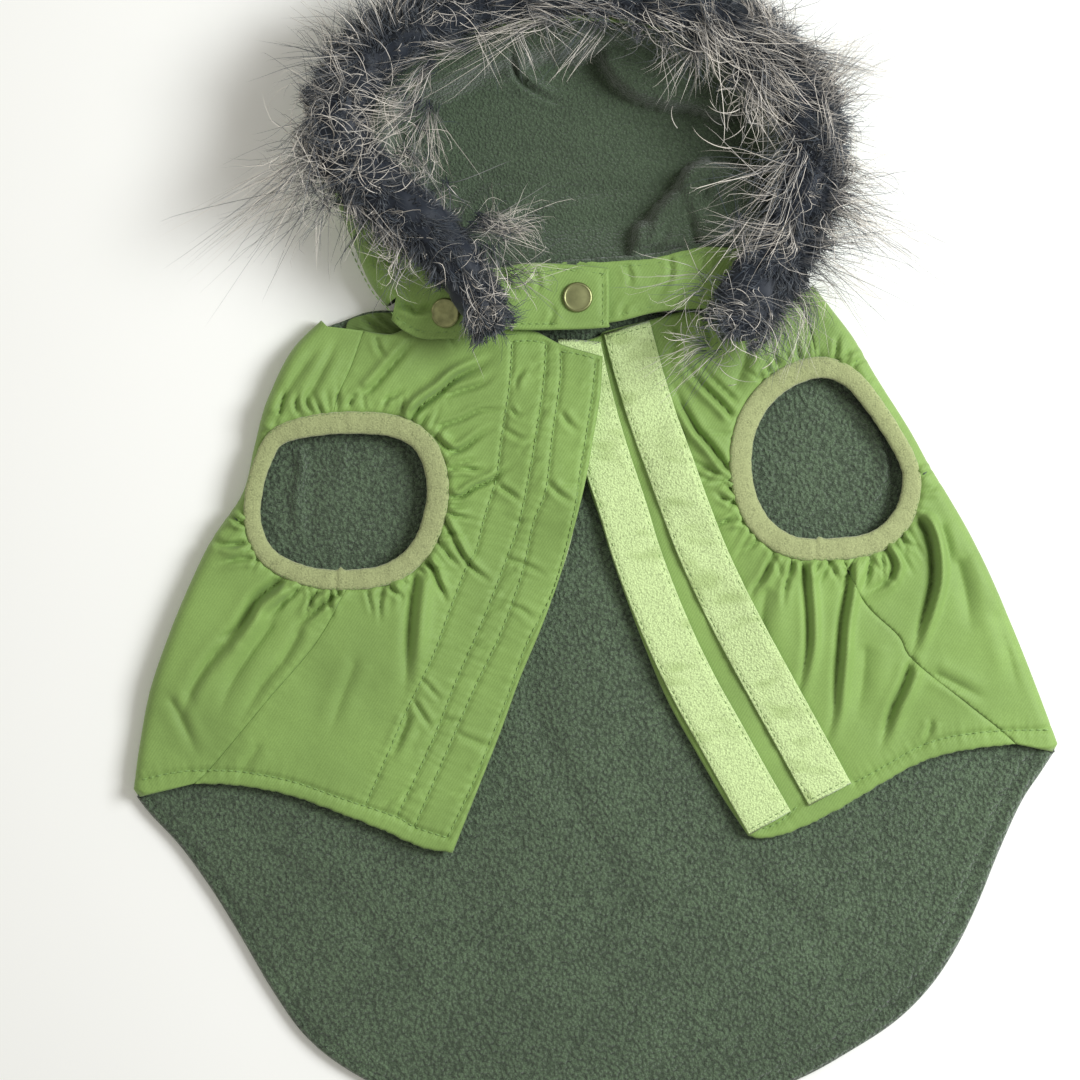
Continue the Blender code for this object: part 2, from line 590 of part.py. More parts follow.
def make_material(name, colour, roughness, metallic=0.0):
    material = bpy.data.materials.new(name)
    material.use_nodes = True
    shader = material.node_tree.nodes["Principled BSDF"]
    shader.inputs["Base Color"].default_value = (*colour, 1.0)
    shader.inputs["Roughness"].default_value = roughness
    shader.inputs["Metallic"].default_value = metallic
    return material


def main():
    for old in list(bpy.data.objects):
        bpy.data.objects.remove(old, do_unlink=True)
    shell = make_material("green nylon", (0.27, 0.42, 0.13), 0.5)
    fleece = make_material("dark green fleece", (0.09, 0.13, 0.08), 0.95)
    rib = make_material("khaki binding", (0.34, 0.37, 0.17), 0.8)
    loop = make_material("pale green tape", (0.6, 0.73, 0.33), 0.9)
    fur = make_material("grey fur", (0.07, 0.08, 0.1), 0.9)
    brass = make_material("antique brass", (0.35, 0.33, 0.16), 0.35, 1.0)

    make_back(shell, fleece)
    make_front("front_left", LEFT_NECK, LEFT_FREE, LEFT_HEM, LEFT_SHOULDER_SEAM, LEFT_SIDE_SEAM,
               leg_edge(LEG_LEFT), left_top, False, shell)
    make_front("front_right", RIGHT_NECK, RIGHT_FREE, RIGHT_HEM, RIGHT_SHOULDER_SEAM, RIGHT_SIDE_SEAM,
               leg_edge(LEG_RIGHT), right_top, True, shell)
    make_binding("leg_binding_left", LEG_LEFT, left_top, rib)
    make_binding("leg_binding_right", LEG_RIGHT, right_top, rib)
    for name in ("hook_tape_1", "hook_tape_2"):
        make_tape(name, HOOK_WIDTH, lowered(left_top, FRONT + TAPE_GAP), loop)
    for name in ("loop_tape_1", "loop_tape_2"):
        make_tape(name, LOOP_WIDTH, lowered(right_top, -TAPE - TAPE_GAP), loop)
    hood_layer("hood_shell", 0.0, SHELL, shell)
    hood_layer("hood_lining", SHELL + LAYER_GAP, FLEECE, fleece)
    cloth("hood_band", [Vector(p) for p in BAND], NARROW, flat(BAND_TOP), STRAP, shell)
    cloth("hood_tab", [Vector(p) for p in TAB], NARROW, flat(TAB_TOP), STRAP, shell)
    make_fur(fur)
    make_cap("snap_cap_1", CAP_CHEEK, hood_top, brass)
    make_cap("snap_cap_2", CAP_TAB, flat(TAB_TOP), brass)


main()
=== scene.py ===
"""The looks of a hooded dog jacket with a fur trim, laid flat on its back.

Tables and sizes are in millimetres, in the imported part's own frame, and meshes are made in metres.
"""
import math

import bmesh
import bpy
import numpy as np
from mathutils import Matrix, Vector, noise
from mathutils.geometry import delaunay_2d_cdt


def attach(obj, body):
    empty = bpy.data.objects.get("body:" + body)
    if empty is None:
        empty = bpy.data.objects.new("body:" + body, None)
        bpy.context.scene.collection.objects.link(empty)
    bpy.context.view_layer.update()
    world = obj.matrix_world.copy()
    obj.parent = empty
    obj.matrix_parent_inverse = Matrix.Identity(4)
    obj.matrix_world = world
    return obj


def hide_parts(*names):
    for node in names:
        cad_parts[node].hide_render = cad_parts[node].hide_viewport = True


bl_info = {
    "name": "Dog Jacket Looks",
    "version": (1, 0, 0),
    "blender": (4, 5, 0),
    "location": "3D View > Sidebar > Dog Jacket",
    "description": "Cloth, stitching, tapes, snaps and fur of a dog jacket laid flat",
    "category": "Object",
}

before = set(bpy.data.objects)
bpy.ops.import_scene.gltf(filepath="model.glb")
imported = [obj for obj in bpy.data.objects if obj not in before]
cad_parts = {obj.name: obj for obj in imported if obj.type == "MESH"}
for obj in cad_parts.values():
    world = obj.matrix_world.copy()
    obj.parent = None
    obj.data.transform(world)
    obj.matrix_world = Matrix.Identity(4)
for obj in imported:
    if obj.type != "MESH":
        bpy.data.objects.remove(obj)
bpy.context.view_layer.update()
MM = 0.001

# ---------------------------------------------------------------- the jacket's own sizes

SHELL = 1.2
FLEECE = 2.2
FRONT = 3.0
TAPE = 1.4
STRAP = 3.0
BINDING = 3.4
SHELL_SHOWN = SHELL * 0.9     # thickness of the drawn nylon
HOOD_FLEECE = FLEECE * 0.8
LINING_TOP = 3.9     # height of the back's fleece
FACING_TOP = 5.6
HOOK_WIDTH = 18.0
LOOP_WIDTH = 20.0
TUCK = -1.2          # cloth's edge round a leg hole, from the binding's outer edge
EDGE_ROLL = 1.7      # how far a padded panel's rounded edge reaches in
EDGE_SHARES = (0.2, 0.55, 1.0)    # where the rows of points on that edge lie
ROLL_STEPS = 9       # rows of points round a fold
ARC_CLEAR = 2.5      # from a seam's end to the next point round the leg hole
CREASE_GAIN = 2.3    # how much deeper creases are made than their tables say
CREASE_WIDTH = 0.84
TROUGH_WIDTH = 0.68       # of a crease, as a share of its own width, and so on for its shoulders
SHOULDER_PLACE = 1.6
SHOULDER_WIDTH = 1.15
SHOULDER_RISE = 0.46
FOLD_CLEAR = 1.2     # from a fold's edge to the points round a leg hole

# Side folds, from the neck to the hem. Columns: x, y, radius of the roll
FOLD_LEFT = (
    (-115, 91, 4), (-127.5, 78, 5), (-137.5, 57.5, 5), (-142.8, 39, 5), (-147.8, 19, 5), (-160, 0.5, 5),
    (-167.5, -14, 5), (-177.5, -37.5, 5), (-186.5, -63.5, 5), (-191, -86.5, 4.5), (-193.5, -105, 4))
FOLD_RIGHT = (
    (90.5, 105.5, 4), (98.5, 95.5, 4.5), (107.5, 83.5, 5), (114.5, 71.5, 5), (121, 61, 5), (127.5, 51, 5),
    (133.5, 41, 5), (140, 29, 5), (148, 16, 5), (156.5, 1, 5), (165, -16.5, 5), (175, -39.5, 5),
    (185, -64.5, 5), (193, -86, 4))

# Outline of the tail, from the left fold round to the right one, and of the back's neck. Columns: x, y
TAIL = (
    (-193.5, -107), (-187, -115.5), (-174, -129.5), (-161, -147.5), (-149.5, -166), (-136, -189),
    (-122.5, -208), (-105.5, -222), (-82.5, -233.5), (-53, -241), (-15, -244.5), (22.5, -243.5),
    (56, -237.5), (85.5, -226.5), (106.5, -215), (125.5, -202.5), (140, -188), (151, -171.5), (160, -153),
    (168.5, -132), (178, -111), (186.5, -98), (193, -88))
BACK_NECK = (
    (77, 99.5), (52, 96), (18.5, 93.5), (-15, 92.5), (-48.5, 93), (-76, 94.5), (-89, 95.3), (-97, 94.3),
    (-104, 91.5))
NECK_FACING = (
    (-104, 90.5), (-97, 93.3), (-89, 94.3), (-76, 93.5), (-60, 92.5), (-60, 79), (-80, 79.5), (-94, 79.5),
    (-104, 82))

LEFT_CORNER = np.array((-191.5, -109.0))
RIGHT_CORNER = np.array((191.5, -90.0))

# How far the tail's stitched groove lies inside its edge. Columns: share of the way round, distance
TAIL_GROOVE = ((0, 3.6), (0.3, 4.2), (0.55, 5), (0.75, 6.2), (0.9, 6.8), (1, 6.4))

# Edges of the left front: neck, free edge, hem and its two seams. Columns: x, y
LEFT_NECK = (
    (-97, 86.3), (-86, 85), (-77, 88), (-63, 90), (-48.5, 90), (-37, 88), (-25.5, 86), (-14.5, 80.5),
    (2.5, 75.5))
LEFT_FREE = (
    (2.5, 75.5), (1.5, 59.5), (-1.5, 41), (-4.5, 24), (-9, 5.5), (-15, -15.5), (-23, -37.5), (-32, -59),
    (-40, -81), (-49.5, -105), (-60, -131.5))
LEFT_HEM = (
    (-60, -131.5), (-73.5, -129), (-88, -122.5), (-107, -115), (-128, -107.5), (-148.5, -103.5),
    (-168, -102.5))
LEFT_SHOULDER_SEAM = ((-97, 86.3), (-102.5, 70.5), (-107.5, 59.5), (-110.5, 47.5))
LEFT_SIDE_SEAM = ((-101, -15), (-116, -42.5), (-137, -67.5), (-161, -96), (-168, -102.5))

# Edges of the right front, in the same order. Columns: x, y
RIGHT_NECK = ((83, 101.5), (68.5, 99), (51.5, 96.5), (35, 94.5), (21.5, 91), (3.5, 86.5), (0, 84), (-17, 80))
RIGHT_FREE = (
    (-17, 80), (-14, 64), (-9.5, 45), (-4, 24), (1.5, 8), (6.5, -8), (13, -26.5), (21, -47.5),
    (30, -68.5), (42, -90), (52.5, -108), (63.5, -124.5))
RIGHT_HEM = (
    (63.5, -124.5), (71.5, -125.5), (85, -121.5), (102, -113), (118.5, -103), (135, -94), (152, -89),
    (175, -86))
RIGHT_SHOULDER_SEAM = ((83, 101.5), (88.5, 88), (91, 77), (91.5, 68.5))
RIGHT_SIDE_SEAM = (
    (100, -2), (111, -26), (125.5, -40.5), (131.5, -50.5), (152.5, -67.5), (168.5, -80), (175, -86))

# Middle of each leg binding, clockwise from the shoulder seam. Columns: x, y, half of the width
LEG_LEFT = (
    (-102.5, 48, 4.4), (-84, 46.5, 4.4), (-72, 39.5, 4.4), (-66.5, 26, 4.4), (-67, 11, 4.4),
    (-73.5, -5, 4.3), (-87, -15, 4.1), (-107, -17.5, 4), (-123.5, -15, 3.8), (-137, -7.5, 3.5),
    (-143, 5, 3.3), (-142.8, 18.5, 3.3), (-139.2, 31.5, 3.3), (-133, 42, 3.6), (-119.5, 46.5, 4.2))
LEG_RIGHT = (
    (95, 71, 4.2), (106, 66.4, 3.8), (115.4, 55.5, 3.6), (123.8, 43, 3.4), (129.8, 31.7, 3.4),
    (131.3, 21.5, 3.7), (127.5, 8.5, 4.2), (116.5, -1.5, 4.4), (100.5, -4.5, 4.4), (82.5, -4, 4.4),
    (70, 3.5, 4.4), (62.5, 16, 4.4), (60, 31.5, 4.4), (62.5, 47, 4.4), (70.5, 60, 4.4), (82.5, 68.5, 4.4))
# Where each binding's ends are sewn together
LEG_JOINS = {"leg_binding_left": (-106.5, -17.5), "leg_binding_right": (93, -4.6)}

# Middle lines of the tapes, from the neck to the hem. Columns: x, y
TAPE_LINES = {
    "hook_tape_1": (
        (-28, 80), (-30, 57.5), (-35, 32.5), (-39, 11.5), (-44, -5), (-51, -26), (-59.5, -43.5),
        (-69.5, -67.5), (-81, -92), (-90, -111)),
    "hook_tape_2": (
        (-7, 82.5), (-9.5, 57.5), (-13, 32.5), (-17, 11.5), (-21, -5), (-28.5, -26), (-36, -43.5),
        (-45.5, -67.5), (-55.5, -92), (-66, -117)),
    "loop_tape_1": (
        (-8, 79.5), (-4.5, 64), (0.5, 45), (6, 27.5), (11.5, 11), (16.5, -5.5), (23.5, -24.5),
        (31.5, -43.5), (41, -63), (52.5, -83.5), (62.5, -101.5), (72.5, -119)),
    "loop_tape_2": (
        (12.5, 88), (18.5, 66), (24.5, 47), (30.5, 30.5), (37, 12.5), (44.5, -6.5), (53.5, -26),
        (63, -44.5), (73.5, -63.5), (86, -86), (97.5, -107)),
}

# Height of the top cloth at a few places, which the cloth between blends. Columns: x, y, height
TOP_REACH = 18.0
TOP_LEFT = (
    (-110, 88, 11), (-62, 86, 11.2), (-120, 62, 13), (-88, 62, 12.6), (-55, 28, 12.4), (-26, 76, 14.6),
    (-2, 74, 15.6), (-8, 48, 15.6), (-8, 22, 15.6), (-24, -16, 10.8), (-98, -34, 12.8), (-152, -48, 12),
    (-146, 20, 11.5), (-48, -82, 9.6), (-92, -84, 10.2), (-98, -116, 9.5), (-180, -100, 9.4))
TOP_RIGHT = (
    (88, 100, 11.4), (55, 88, 10.6), (108, 76, 12.4), (-10, 72, 7.4), (16, 70, 7.8), (2, 26, 7.4),
    (30, -10, 7.6), (48, 30, 11.6), (98, -22, 12.6), (136, 30, 11.5), (150, -30, 12.6), (133, -52, 11.8),
    (62, -92, 7.6), (92, -112, 7.9), (125, -86, 9.2), (182, -82, 9.4))

# ---------------------------------------------------------------- creases, placed one by one

# Each crease starts at its deep end. Columns: depth, half width, lean of its shoulders, course (x, y)
LEFT_CREASES = (
    (1.3, 2.2, 0.4, ((-97, 60), (-93, 63), (-86, 71), (-77, 81), (-72, 86))),
    (0.8, 1.6, -0.3, ((-88, 57), (-83, 60), (-79, 63))),
    (2.3, 2.1, 0.5, ((-77, 51), (-72, 56), (-65, 61), (-58, 67), (-48, 72), (-42, 76))),
    (1.1, 1.8, 0.2, ((-63, 59), (-57, 61), (-48, 64), (-41, 69))),
    (1.4, 1.7, 0.3, ((-68, 43), (-59, 36), (-48, 43), (-40, 47))),
    (1, 1.5, 0, ((-67, 46), (-57, 49), (-48, 53), (-36, 53))),
    (1.5, 1.3, -0.3, ((-62, 28), (-56, 29), (-48, 28), (-45, 28))),
    (1.9, 1.5, 0.4, ((-62, 18), (-57, 17), (-51, 21), (-44, 24), (-40, 27), (-33, 31))),
    (0.9, 1.3, 0, ((-63, 12), (-58, 9), (-53, 9))),
    (1.5, 1.5, 0.3, ((-64, 8), (-61, 3), (-57, -5), (-53, -11), (-46, -17), (-41, -20))),
    (1, 1.4, -0.2, ((-67, 0), (-61, -8), (-55, -13))),
    (1.6, 1.5, 0.4, ((-71, -7), (-65, -20), (-62, -28))),
    (1.8, 3.4, 0.6, ((-75, -14), (-77, -29), (-78, -42), (-79, -54), (-80, -66))),
    (0.8, 1.3, 0, ((-88, -20), (-90, -28), (-90, -36))),
    (1.4, 1.7, 0.5, ((-106, -22), (-114, -28), (-120, -33), (-127, -37))),
    (1.1, 1.4, 0, ((-116, -22), (-120, -29), (-121, -34))),
    (2.6, 3, 0.5, ((-130, -17), (-136, -21), (-142, -26), (-146, -33), (-151, -39), (-160, -43))),
    (1, 2, 0, ((-124, -21), (-132, -28), (-138, -34))),
    (1.6, 1.7, 0.2, ((-146, -2), (-152, -3), (-157, -3), (-161, -5))),
    (1.2, 1.6, 0, ((-142, -8), (-150, -9), (-158, -11))),
    (1.3, 1.4, 0, ((-147, 6), (-150, 8), (-153, 10))),
    (1.2, 1.5, 0.3, ((-132, 51), (-131, 57), (-129, 64))),
    (1, 1.5, 0, ((-125, 52), (-125, 57), (-123, 61))),
    (0.8, 1.3, 0, ((-118, 52), (-121, 58), (-118, 63))), (1.5, 1.3, 0, ((-138, 47), (-140, 53))),
    (0.7, 3, 0.4, ((-131, 57), (-126, 66), (-120, 74), (-114, 81))),
    (0.7, 2.6, 0, ((-121, 56), (-116, 66), (-110, 78), (-107, 85))),
    (0.9, 1.4, 0, ((-103, 55), (-101, 59), (-97, 59))),
    (1.1, 3.2, 0.3, ((-150, -40), (-160, -50), (-168, -62), (-174, -78))),
    (0.9, 3.4, -0.3, ((-134, -34), (-143, -46), (-152, -60), (-158, -76))),
    (0.75, 3, 0.3, ((-122, -36), (-130, -50), (-140, -62), (-150, -80))),
    (0.6, 3, 0.2, ((-178, -66), (-172, -78), (-166, -92))),
    (0.5, 3.4, 0, ((-100, -50), (-106, -66), (-112, -84))),
    (0.45, 3, 0, ((-140, -86), (-146, -94), (-150, -104))),
    (0.9, 1.6, 0, ((-41, 22), (-35, 18), (-30, 14))), (0.7, 1.8, 0.2, ((-15, 52), (-11, 47), (-7, 44))),
    (0.8, 1.8, 0.2, ((-20, 23), (-15, 18), (-8, 14))), (0.6, 1.6, 0, ((-39, 46), (-33, 42), (-27, 41))),
    (0.6, 1.6, 0, ((-38, -9), (-30, -11), (-20, -16))),
    (0.8, 1.6, 0, ((-76, -68), (-71, -76), (-68, -81))),
    (0.6, 1.5, 0, ((-73, -59), (-69, -63), (-64, -69))),
    (0.5, 1.8, 0, ((-36, -28), (-31, -30), (-25, -35))),
    (0.5, 2, 0, ((-58, -82), (-48, -86), (-41, -89))), (0.8, 1.3, 0, ((-36, 54), (-33, 51), (-30, 52))),
    (0.7, 1.5, 0.3, ((-30, 70), (-33, 66), (-34, 60))), (1, 2.2, 0, ((-78, -74), (-82, -84), (-87, -94))),
    (0.7, 1.6, 0, ((-92, 84), (-90, 78), (-86, 74))), (0.6, 1.4, 0, ((-60, 88), (-61, 83), (-58, 79))))
RIGHT_CREASES = (
    (1.5, 1.9, 0.4, ((57, 50), (52, 56), (46, 62), (38, 71), (35, 78))),
    (0.9, 1.6, 0, ((58, 57), (53, 62), (46, 69), (41, 76))),
    (2.1, 1.9, 0.4, ((55, 28), (50, 35), (46, 40), (41, 46), (35, 57), (31, 66))),
    (1.1, 1.5, 0, ((56, 24), (50, 27), (44, 30), (38, 33))),
    (1.3, 1.3, 0, ((62, 7), (55, 7), (49, 5), (45, 3))), (0.9, 1.4, 0, ((58, 14), (54, 16), (48, 20))),
    (0.9, 1.3, 0, ((57, 20), (53, 23), (48, 25))), (1, 1.5, 0, ((69, 1), (65, -3), (60, -6))),
    (1.3, 1.7, 0.3, ((74, -6), (72, -11), (69, -17), (65, -22), (65, -27))),
    (1, 1.5, 0, ((82, -9), (80, -15), (78, -24), (78, -30))),
    (1.7, 2.1, 0.5, ((86, -9), (87, -20), (88, -32), (88, -45), (86, -57), (83, -69))),
    (2, 2.2, 0.6, ((106, -9), (104, -23), (102, -35), (101, -48), (100, -62), (99, -74), (95, -88))),
    (1.6, 1.8, 0.4, ((119, -3), (123, -9), (123, -15), (118, -20), (111, -23))),
    (1.2, 1.5, 0, ((114, -9), (113, -15), (111, -21))),
    (3, 2.2, 0.7, ((134, 9), (138, 2), (140, -8), (140, -18), (138, -27), (135, -37), (131, -50))),
    (1.9, 2.4, 0.4, ((131, -52), (128, -61), (124, -70), (121, -79), (118, -89))),
    (1, 1.4, 0, ((125, 4), (128, -2), (129, -8))), (1.6, 1.5, 0, ((107, 72), (110, 76), (113, 81))),
    (1, 1.4, 0, ((99, 73), (100, 79), (100, 85))), (0.9, 1.3, 0, ((85, 73), (84, 79), (83, 85))),
    (0.9, 1.3, 0, ((76, 70), (74, 76), (72, 82))),
    (0.8, 3.5, 0.4, ((63, 83), (62, 75), (59, 66), (56, 58))),
    (0.7, 3, 0, ((47, 89), (48, 83), (49, 76))), (0.7, 4.5, 0.3, ((71, -20), (69, -35), (71, -48))),
    (0.7, 5, 0, ((112, -44), (111, -60), (108, -78))),
    (0.8, 4.5, 0.3, ((150, -8), (154, -24), (156, -40))),
    (0.6, 4, 0, ((166, -30), (172, -48), (176, -66))), (0.7, 3, 0, ((140, -56), (152, -62), (164, -68))),
    (0.7, 2.6, 0, ((143, 6), (146, -4), (148, -14))), (0.9, 2, 0, ((34, 88), (33, 80), (30, 72))),
    (0.8, 1.8, 0, ((57, 91), (58, 86), (57, 80))), (0.7, 1.8, 0, ((140, -76), (138, -83), (134, -89))))
# The back as it lies on the surface: its folds rise into the jacket, so that it rests flat between them
UNDER_CREASES = (
    (1.6, 5, 0.2, ((-150, 40), (-110, 34), (-70, 38), (-30, 30))),
    (1.2, 4, 0, ((-158, -10), (-120, -18), (-84, -14))),
    (1.5, 5.5, 0.3, ((140, 20), (104, 12), (66, 18), (28, 10))),
    (1.1, 4.5, 0, ((168, -30), (130, -34), (92, -28))),
    (1.3, 6, 0.2, ((-20, 70), (-14, 20), (-22, -40), (-10, -96))),
    (1, 5, 0, ((40, 60), (48, 10), (40, -46))), (1.2, 5, 0, ((-176, -70), (-130, -84), (-86, -80))),
    (1.3, 5.5, 0.3, ((178, -76), (132, -88), (84, -84))),
    (1, 6, 0, ((-60, -120), (-20, -134), (30, -130), (76, -138))),
    (0.8, 5, 0, ((-96, -170), (-50, -186), (0, -182))), (0.9, 5, 0, ((110, -166), (70, -184), (30, -190))))
LINING_CREASES = (
    (-1.3, 3.2, 0.5, ((-124, 38), (-123, 28), (-125, 14), (-122, -4))),
    (-0.6, 3, 0, ((-108, 40), (-106, 32), (-110, 20))),
    (-1.4, 3.2, 0.5, ((104, 58), (113, 50), (119, 40), (121, 29), (117, 18), (114, 8))),
    (0.5, 8, 0, ((-30, -60), (-10, -110), (20, -160))),
    (0.5, 9, 0, ((60, -140), (96, -170), (110, -196))),
    (0.5, 8, 0, ((-140, -130), (-100, -160), (-70, -200))),
    (0.4, 7, 0, ((-150, -118), (-110, -128), (-70, -140))))
FACING_CREASES = (
    (1, 1.8, 0.3, ((-98, 92), (-92, 88), (-86, 84), (-82, 80))),
    (0.9, 1.6, 0, ((-90, 93), (-84, 88), (-76, 86))), (0.7, 1.6, 0, ((-101, 86), (-95, 84), (-90, 81))))

# ---------------------------------------------------------------- hood

HOOD_SIDE = 17.0
HOOD_SLOPE = 0.3
# Outside edge of the hood, from the right of the neck over the crown to the left.
# Columns: x, y, radius of the roll
HOOD_FOLD = (
    (83, 114, 6), (89.5, 129, 6), (93.5, 151, 6), (89.5, 175.5, 6), (76, 198, 6), (55.5, 214.5, 6),
    (30.5, 224, 6), (1.5, 227.5, 6), (-27.5, 226, 6), (-57, 220, 6), (-81.5, 210, 6), (-100.5, 195.5, 6),
    (-110.5, 177, 6), (-112, 157, 6), (-107.5, 138.5, 6), (-101.5, 123, 6), (-95, 107, 6),
    (-87.5, 96.5, 5.5))
# Rim of the face opening, clockwise from the left of the throat. Columns: x, y, height
RIM = (
    (-45.5, 83, 24.7), (-51, 100, 24.7), (-62, 118, 24.7), (-76.5, 133, 24.5), (-90, 146, 24.5),
    (-98, 159, 24.5), (-99, 172.5, 24.5), (-92.5, 187, 24.5), (-78.5, 199, 24.5), (-54.5, 208, 24.5),
    (-23.5, 213, 24.5), (5.5, 213, 24.5), (32, 208, 24.5), (53.5, 197, 24.5), (69.5, 181.5, 24.5),
    (79, 162, 24), (79.5, 141.5, 23.2), (74.5, 123, 21.7), (66.5, 104.5, 21.3), (58.5, 90, 21.3),
    (52, 80.5, 21.3))
RIGHT_CHEEK = ((52, 80.5), (62.5, 88.5), (74, 98.5), (80.5, 106.5))
LEFT_CHEEK = ((-85, 90.5), (-78.5, 85.2), (-69, 82.4), (-45.5, 83))
THROAT = ((52, 80.5), (40, 94), (0, 93), (-36, 92), (-45.5, 83))
HOOD_NECK = ((-80, 96), (-48.5, 94), (-15, 93.5), (18.5, 94.5), (52, 97), (73, 101))
HOOD_CREASES = (
    (1.6, 1.9, 0.5, ((-68, 96), (-74, 94), (-79, 96), (-88, 98))),
    (1.2, 2.4, 0.3, ((-96, 112), (-88, 116), (-80, 112), (-74, 106))),
    (0.9, 2.2, 0, ((-100, 126), (-92, 124), (-84, 128))),
    (0.9, 2.6, 0.2, ((-60, 104), (-66, 110), (-74, 114))),
    (1.1, 2.4, 0.3, ((84, 118), (78, 112), (74, 104))), (0.9, 2.2, 0, ((90, 132), (84, 128), (80, 120))),
    (0.9, 2.5, 0, ((92, 158), (86, 156), (82, 150))),
    (1, 2.5, 0, ((-110, 168), (-104, 170), (-100, 166))),
    (0.8, 2.5, 0, ((-40, 223), (-38, 216), (-40, 210))), (0.8, 2.5, 0, ((40, 220), (36, 213), (38, 206))))
HOOD_UNDER_CREASES = (
    (1.2, 5, 0, ((-90, 150), (-50, 140), (-6, 148))), (1.3, 6, 0.2, ((80, 160), (40, 150), (10, 160))),
    (1, 5, 0, ((-10, 220), (-4, 190), (-12, 160))), (0.9, 5, 0, ((-60, 200), (-40, 180), (-36, 160))))
# How wide the fleece lip inside the rim is before it drops to the hood's floor.
# Columns: share of the way, width
RIM_LIP = (
    (0, 6), (0.1, 8), (0.2, 12), (0.28, 15), (0.36, 19), (0.43, 17), (0.49, 13), (0.52, 15), (0.56, 10),
    (0.62, 8), (0.75, 8), (0.86, 6), (1, 5))
FLOOR_LOW = 3.0
FLOOR_CLEAR = 0.4     # under the chin strap
# Loose fleece that lies on the hood's floor. Each: height, roundness of its edge, outline (x, y)
LOBES = (
    (12.5, 5, ((1, 199), (3, 194), (7, 189), (13, 184), (20, 181), (28, 179), (39, 178), (45, 176),
               (52, 174), (62, 178), (66, 186), (43, 205), (18, 211), (4, 208))),
    (12.5, 5, ((33, 148), (35, 152), (38, 155), (44, 158), (53, 157), (62, 155), (68, 150), (72, 130),
               (60, 118), (44, 120), (38, 132), (34, 140))),
    (10, 4.5, ((22, 134), (24, 138), (28, 142), (33, 146), (38, 142), (41, 134), (42, 120), (34, 112),
               (22, 118), (20, 128))),
    (8.5, 4.5, ((14, 120), (15, 128), (18, 132), (23, 133), (30, 126), (28, 114), (18, 110), (12, 114))),
)
FLOOR_CREASES = (
    (2.6, 1.7, 0.3, ((-35, 201), (-34, 196), (-31, 191), (-22, 185), (-10, 181))),
    (1, 2, 0.2, ((-36, 197), (-43, 193), (-52, 193))),
    (1, 5, 0, ((-37, 128), (-19, 143), (9, 146), (24, 142))),
    (0.8, 4, 0, ((-60, 140), (-44, 150), (-30, 148))),
    (1.3, 1.6, 0.3, ((63, 155), (56, 149), (49, 140), (44, 133))),
    (0.9, 1.5, 0, ((47, 150), (46, 144), (43, 138))), (0.8, 2.6, 0, ((30, 128), (24, 121), (16, 117))),
    (0.9, 3, 0, ((-84, 168), (-72, 164), (-62, 168))))
FLOOR_SEAM = ((35, 182), (35.5, 170), (35, 156), (34, 150))

# Chin strap: heights of its band and tab, and their outlines, clockwise. Columns: x, y
BAND_TOP = 17.0
TAB_TOP = 20.3
BAND = (
    (-17, 113), (5.5, 115), (24, 116.5), (44.5, 121), (72, 118), (66, 104.5), (61.5, 96.5), (39.5, 95),
    (24, 93.5), (6.5, 89.5), (-17, 88.5))
TAB = (
    (-57, 110), (-40, 112), (-25.5, 114), (2.5, 112), (5, 109), (5, 90), (3, 87), (-23.5, 86),
    (-40, 86.5), (-47, 88.5), (-51, 100))
# Fleece that shows along the band's top edge. Columns: x, y
STRAP_LIP = ((-20, 113), (5.5, 115), (24, 116.5), (44.5, 121), (60, 119.6))
LIP_RADIUS = 1.3
STRAP_CREASES = (
    (0.7, 1.5, 0, ((12, 113), (14, 108), (13, 103))),
    (0.8, 1.6, 0.3, ((30, 117), (31, 110), (28, 104), (24, 99))),
    (0.6, 1.5, 0, ((46, 119), (45, 113), (47, 108))), (0.6, 1.5, 0, ((10, 92), (12, 97), (18, 100))),
    (0.7, 1.4, 0, ((-26, 110), (-24, 105), (-25, 101))), (0.6, 1.4, 0, ((-20, 88), (-18, 93), (-20, 97))),
    (0.7, 1.6, 0, ((-40, 110), (-36, 104), (-30, 100))))

# Fur trim: its middle from the left of the throat round to the right, and how its hairs lie there.
# Columns: x, y, half width, lean along the trim, lean outward, hair length as a share, share of pale hairs
FUR = (
    (-41, 84, 10, -0.9, -0.3, 0.7, 0.55), (-47, 95, 12, -0.9, -0.2, 0.8, 0.5),
    (-54, 106, 13, -0.9, -0.3, 0.9, 0.4), (-62.5, 118.5, 14, -0.8, -0.4, 1, 0.3),
    (-77, 133, 15, -0.5, -0.1, 1, 0.3), (-93, 146, 16, -0.3, 0.3, 1, 0.5),
    (-104, 159, 16, 0.1, 0.5, 1, 0.9), (-106, 172.5, 16, 0.3, 0.5, 1, 0.9),
    (-101.5, 186.5, 16, 0.3, 0.6, 1, 0.6), (-89, 200.5, 15, 0.2, 0.7, 1, 0.4),
    (-71, 211.5, 14, 0.3, 0.5, 1, 0.35), (-46, 221, 14.5, 0.7, 0.3, 0.9, 0.35),
    (-13, 226.5, 14.5, 0.9, 0.25, 0.9, 0.3), (19.5, 223.5, 15, 0.9, 0.2, 0.9, 0.35),
    (44.5, 214.5, 15.5, 0.8, 0.15, 0.95, 0.5), (64.5, 202, 15, 0.7, 0.2, 1, 0.6),
    (79, 187.5, 15, 0.6, 0.4, 1, 0.6), (87.5, 171, 15, 0.3, 0.7, 1, 0.55),
    (88.5, 154.5, 15, 0.1, 0.8, 1, 0.35), (85.5, 138, 15, 0.2, 0.7, 1, 0.5),
    (77.5, 121, 16, 0.5, 0.5, 1, 0.45), (67, 104.5, 17, 0.7, 0.3, 0.9, 0.25),
    (59, 92, 18, 0.6, 0.1, 0.7, 0.2), (54, 83, 15, 0.5, 0, 0.6, 0.25))
FUR_LIFT = 9.8       # middle of the trim's body over the rim
FUR_CEILING = 56.0
FUR_TOP = 262.0       # no hair reaches past this y
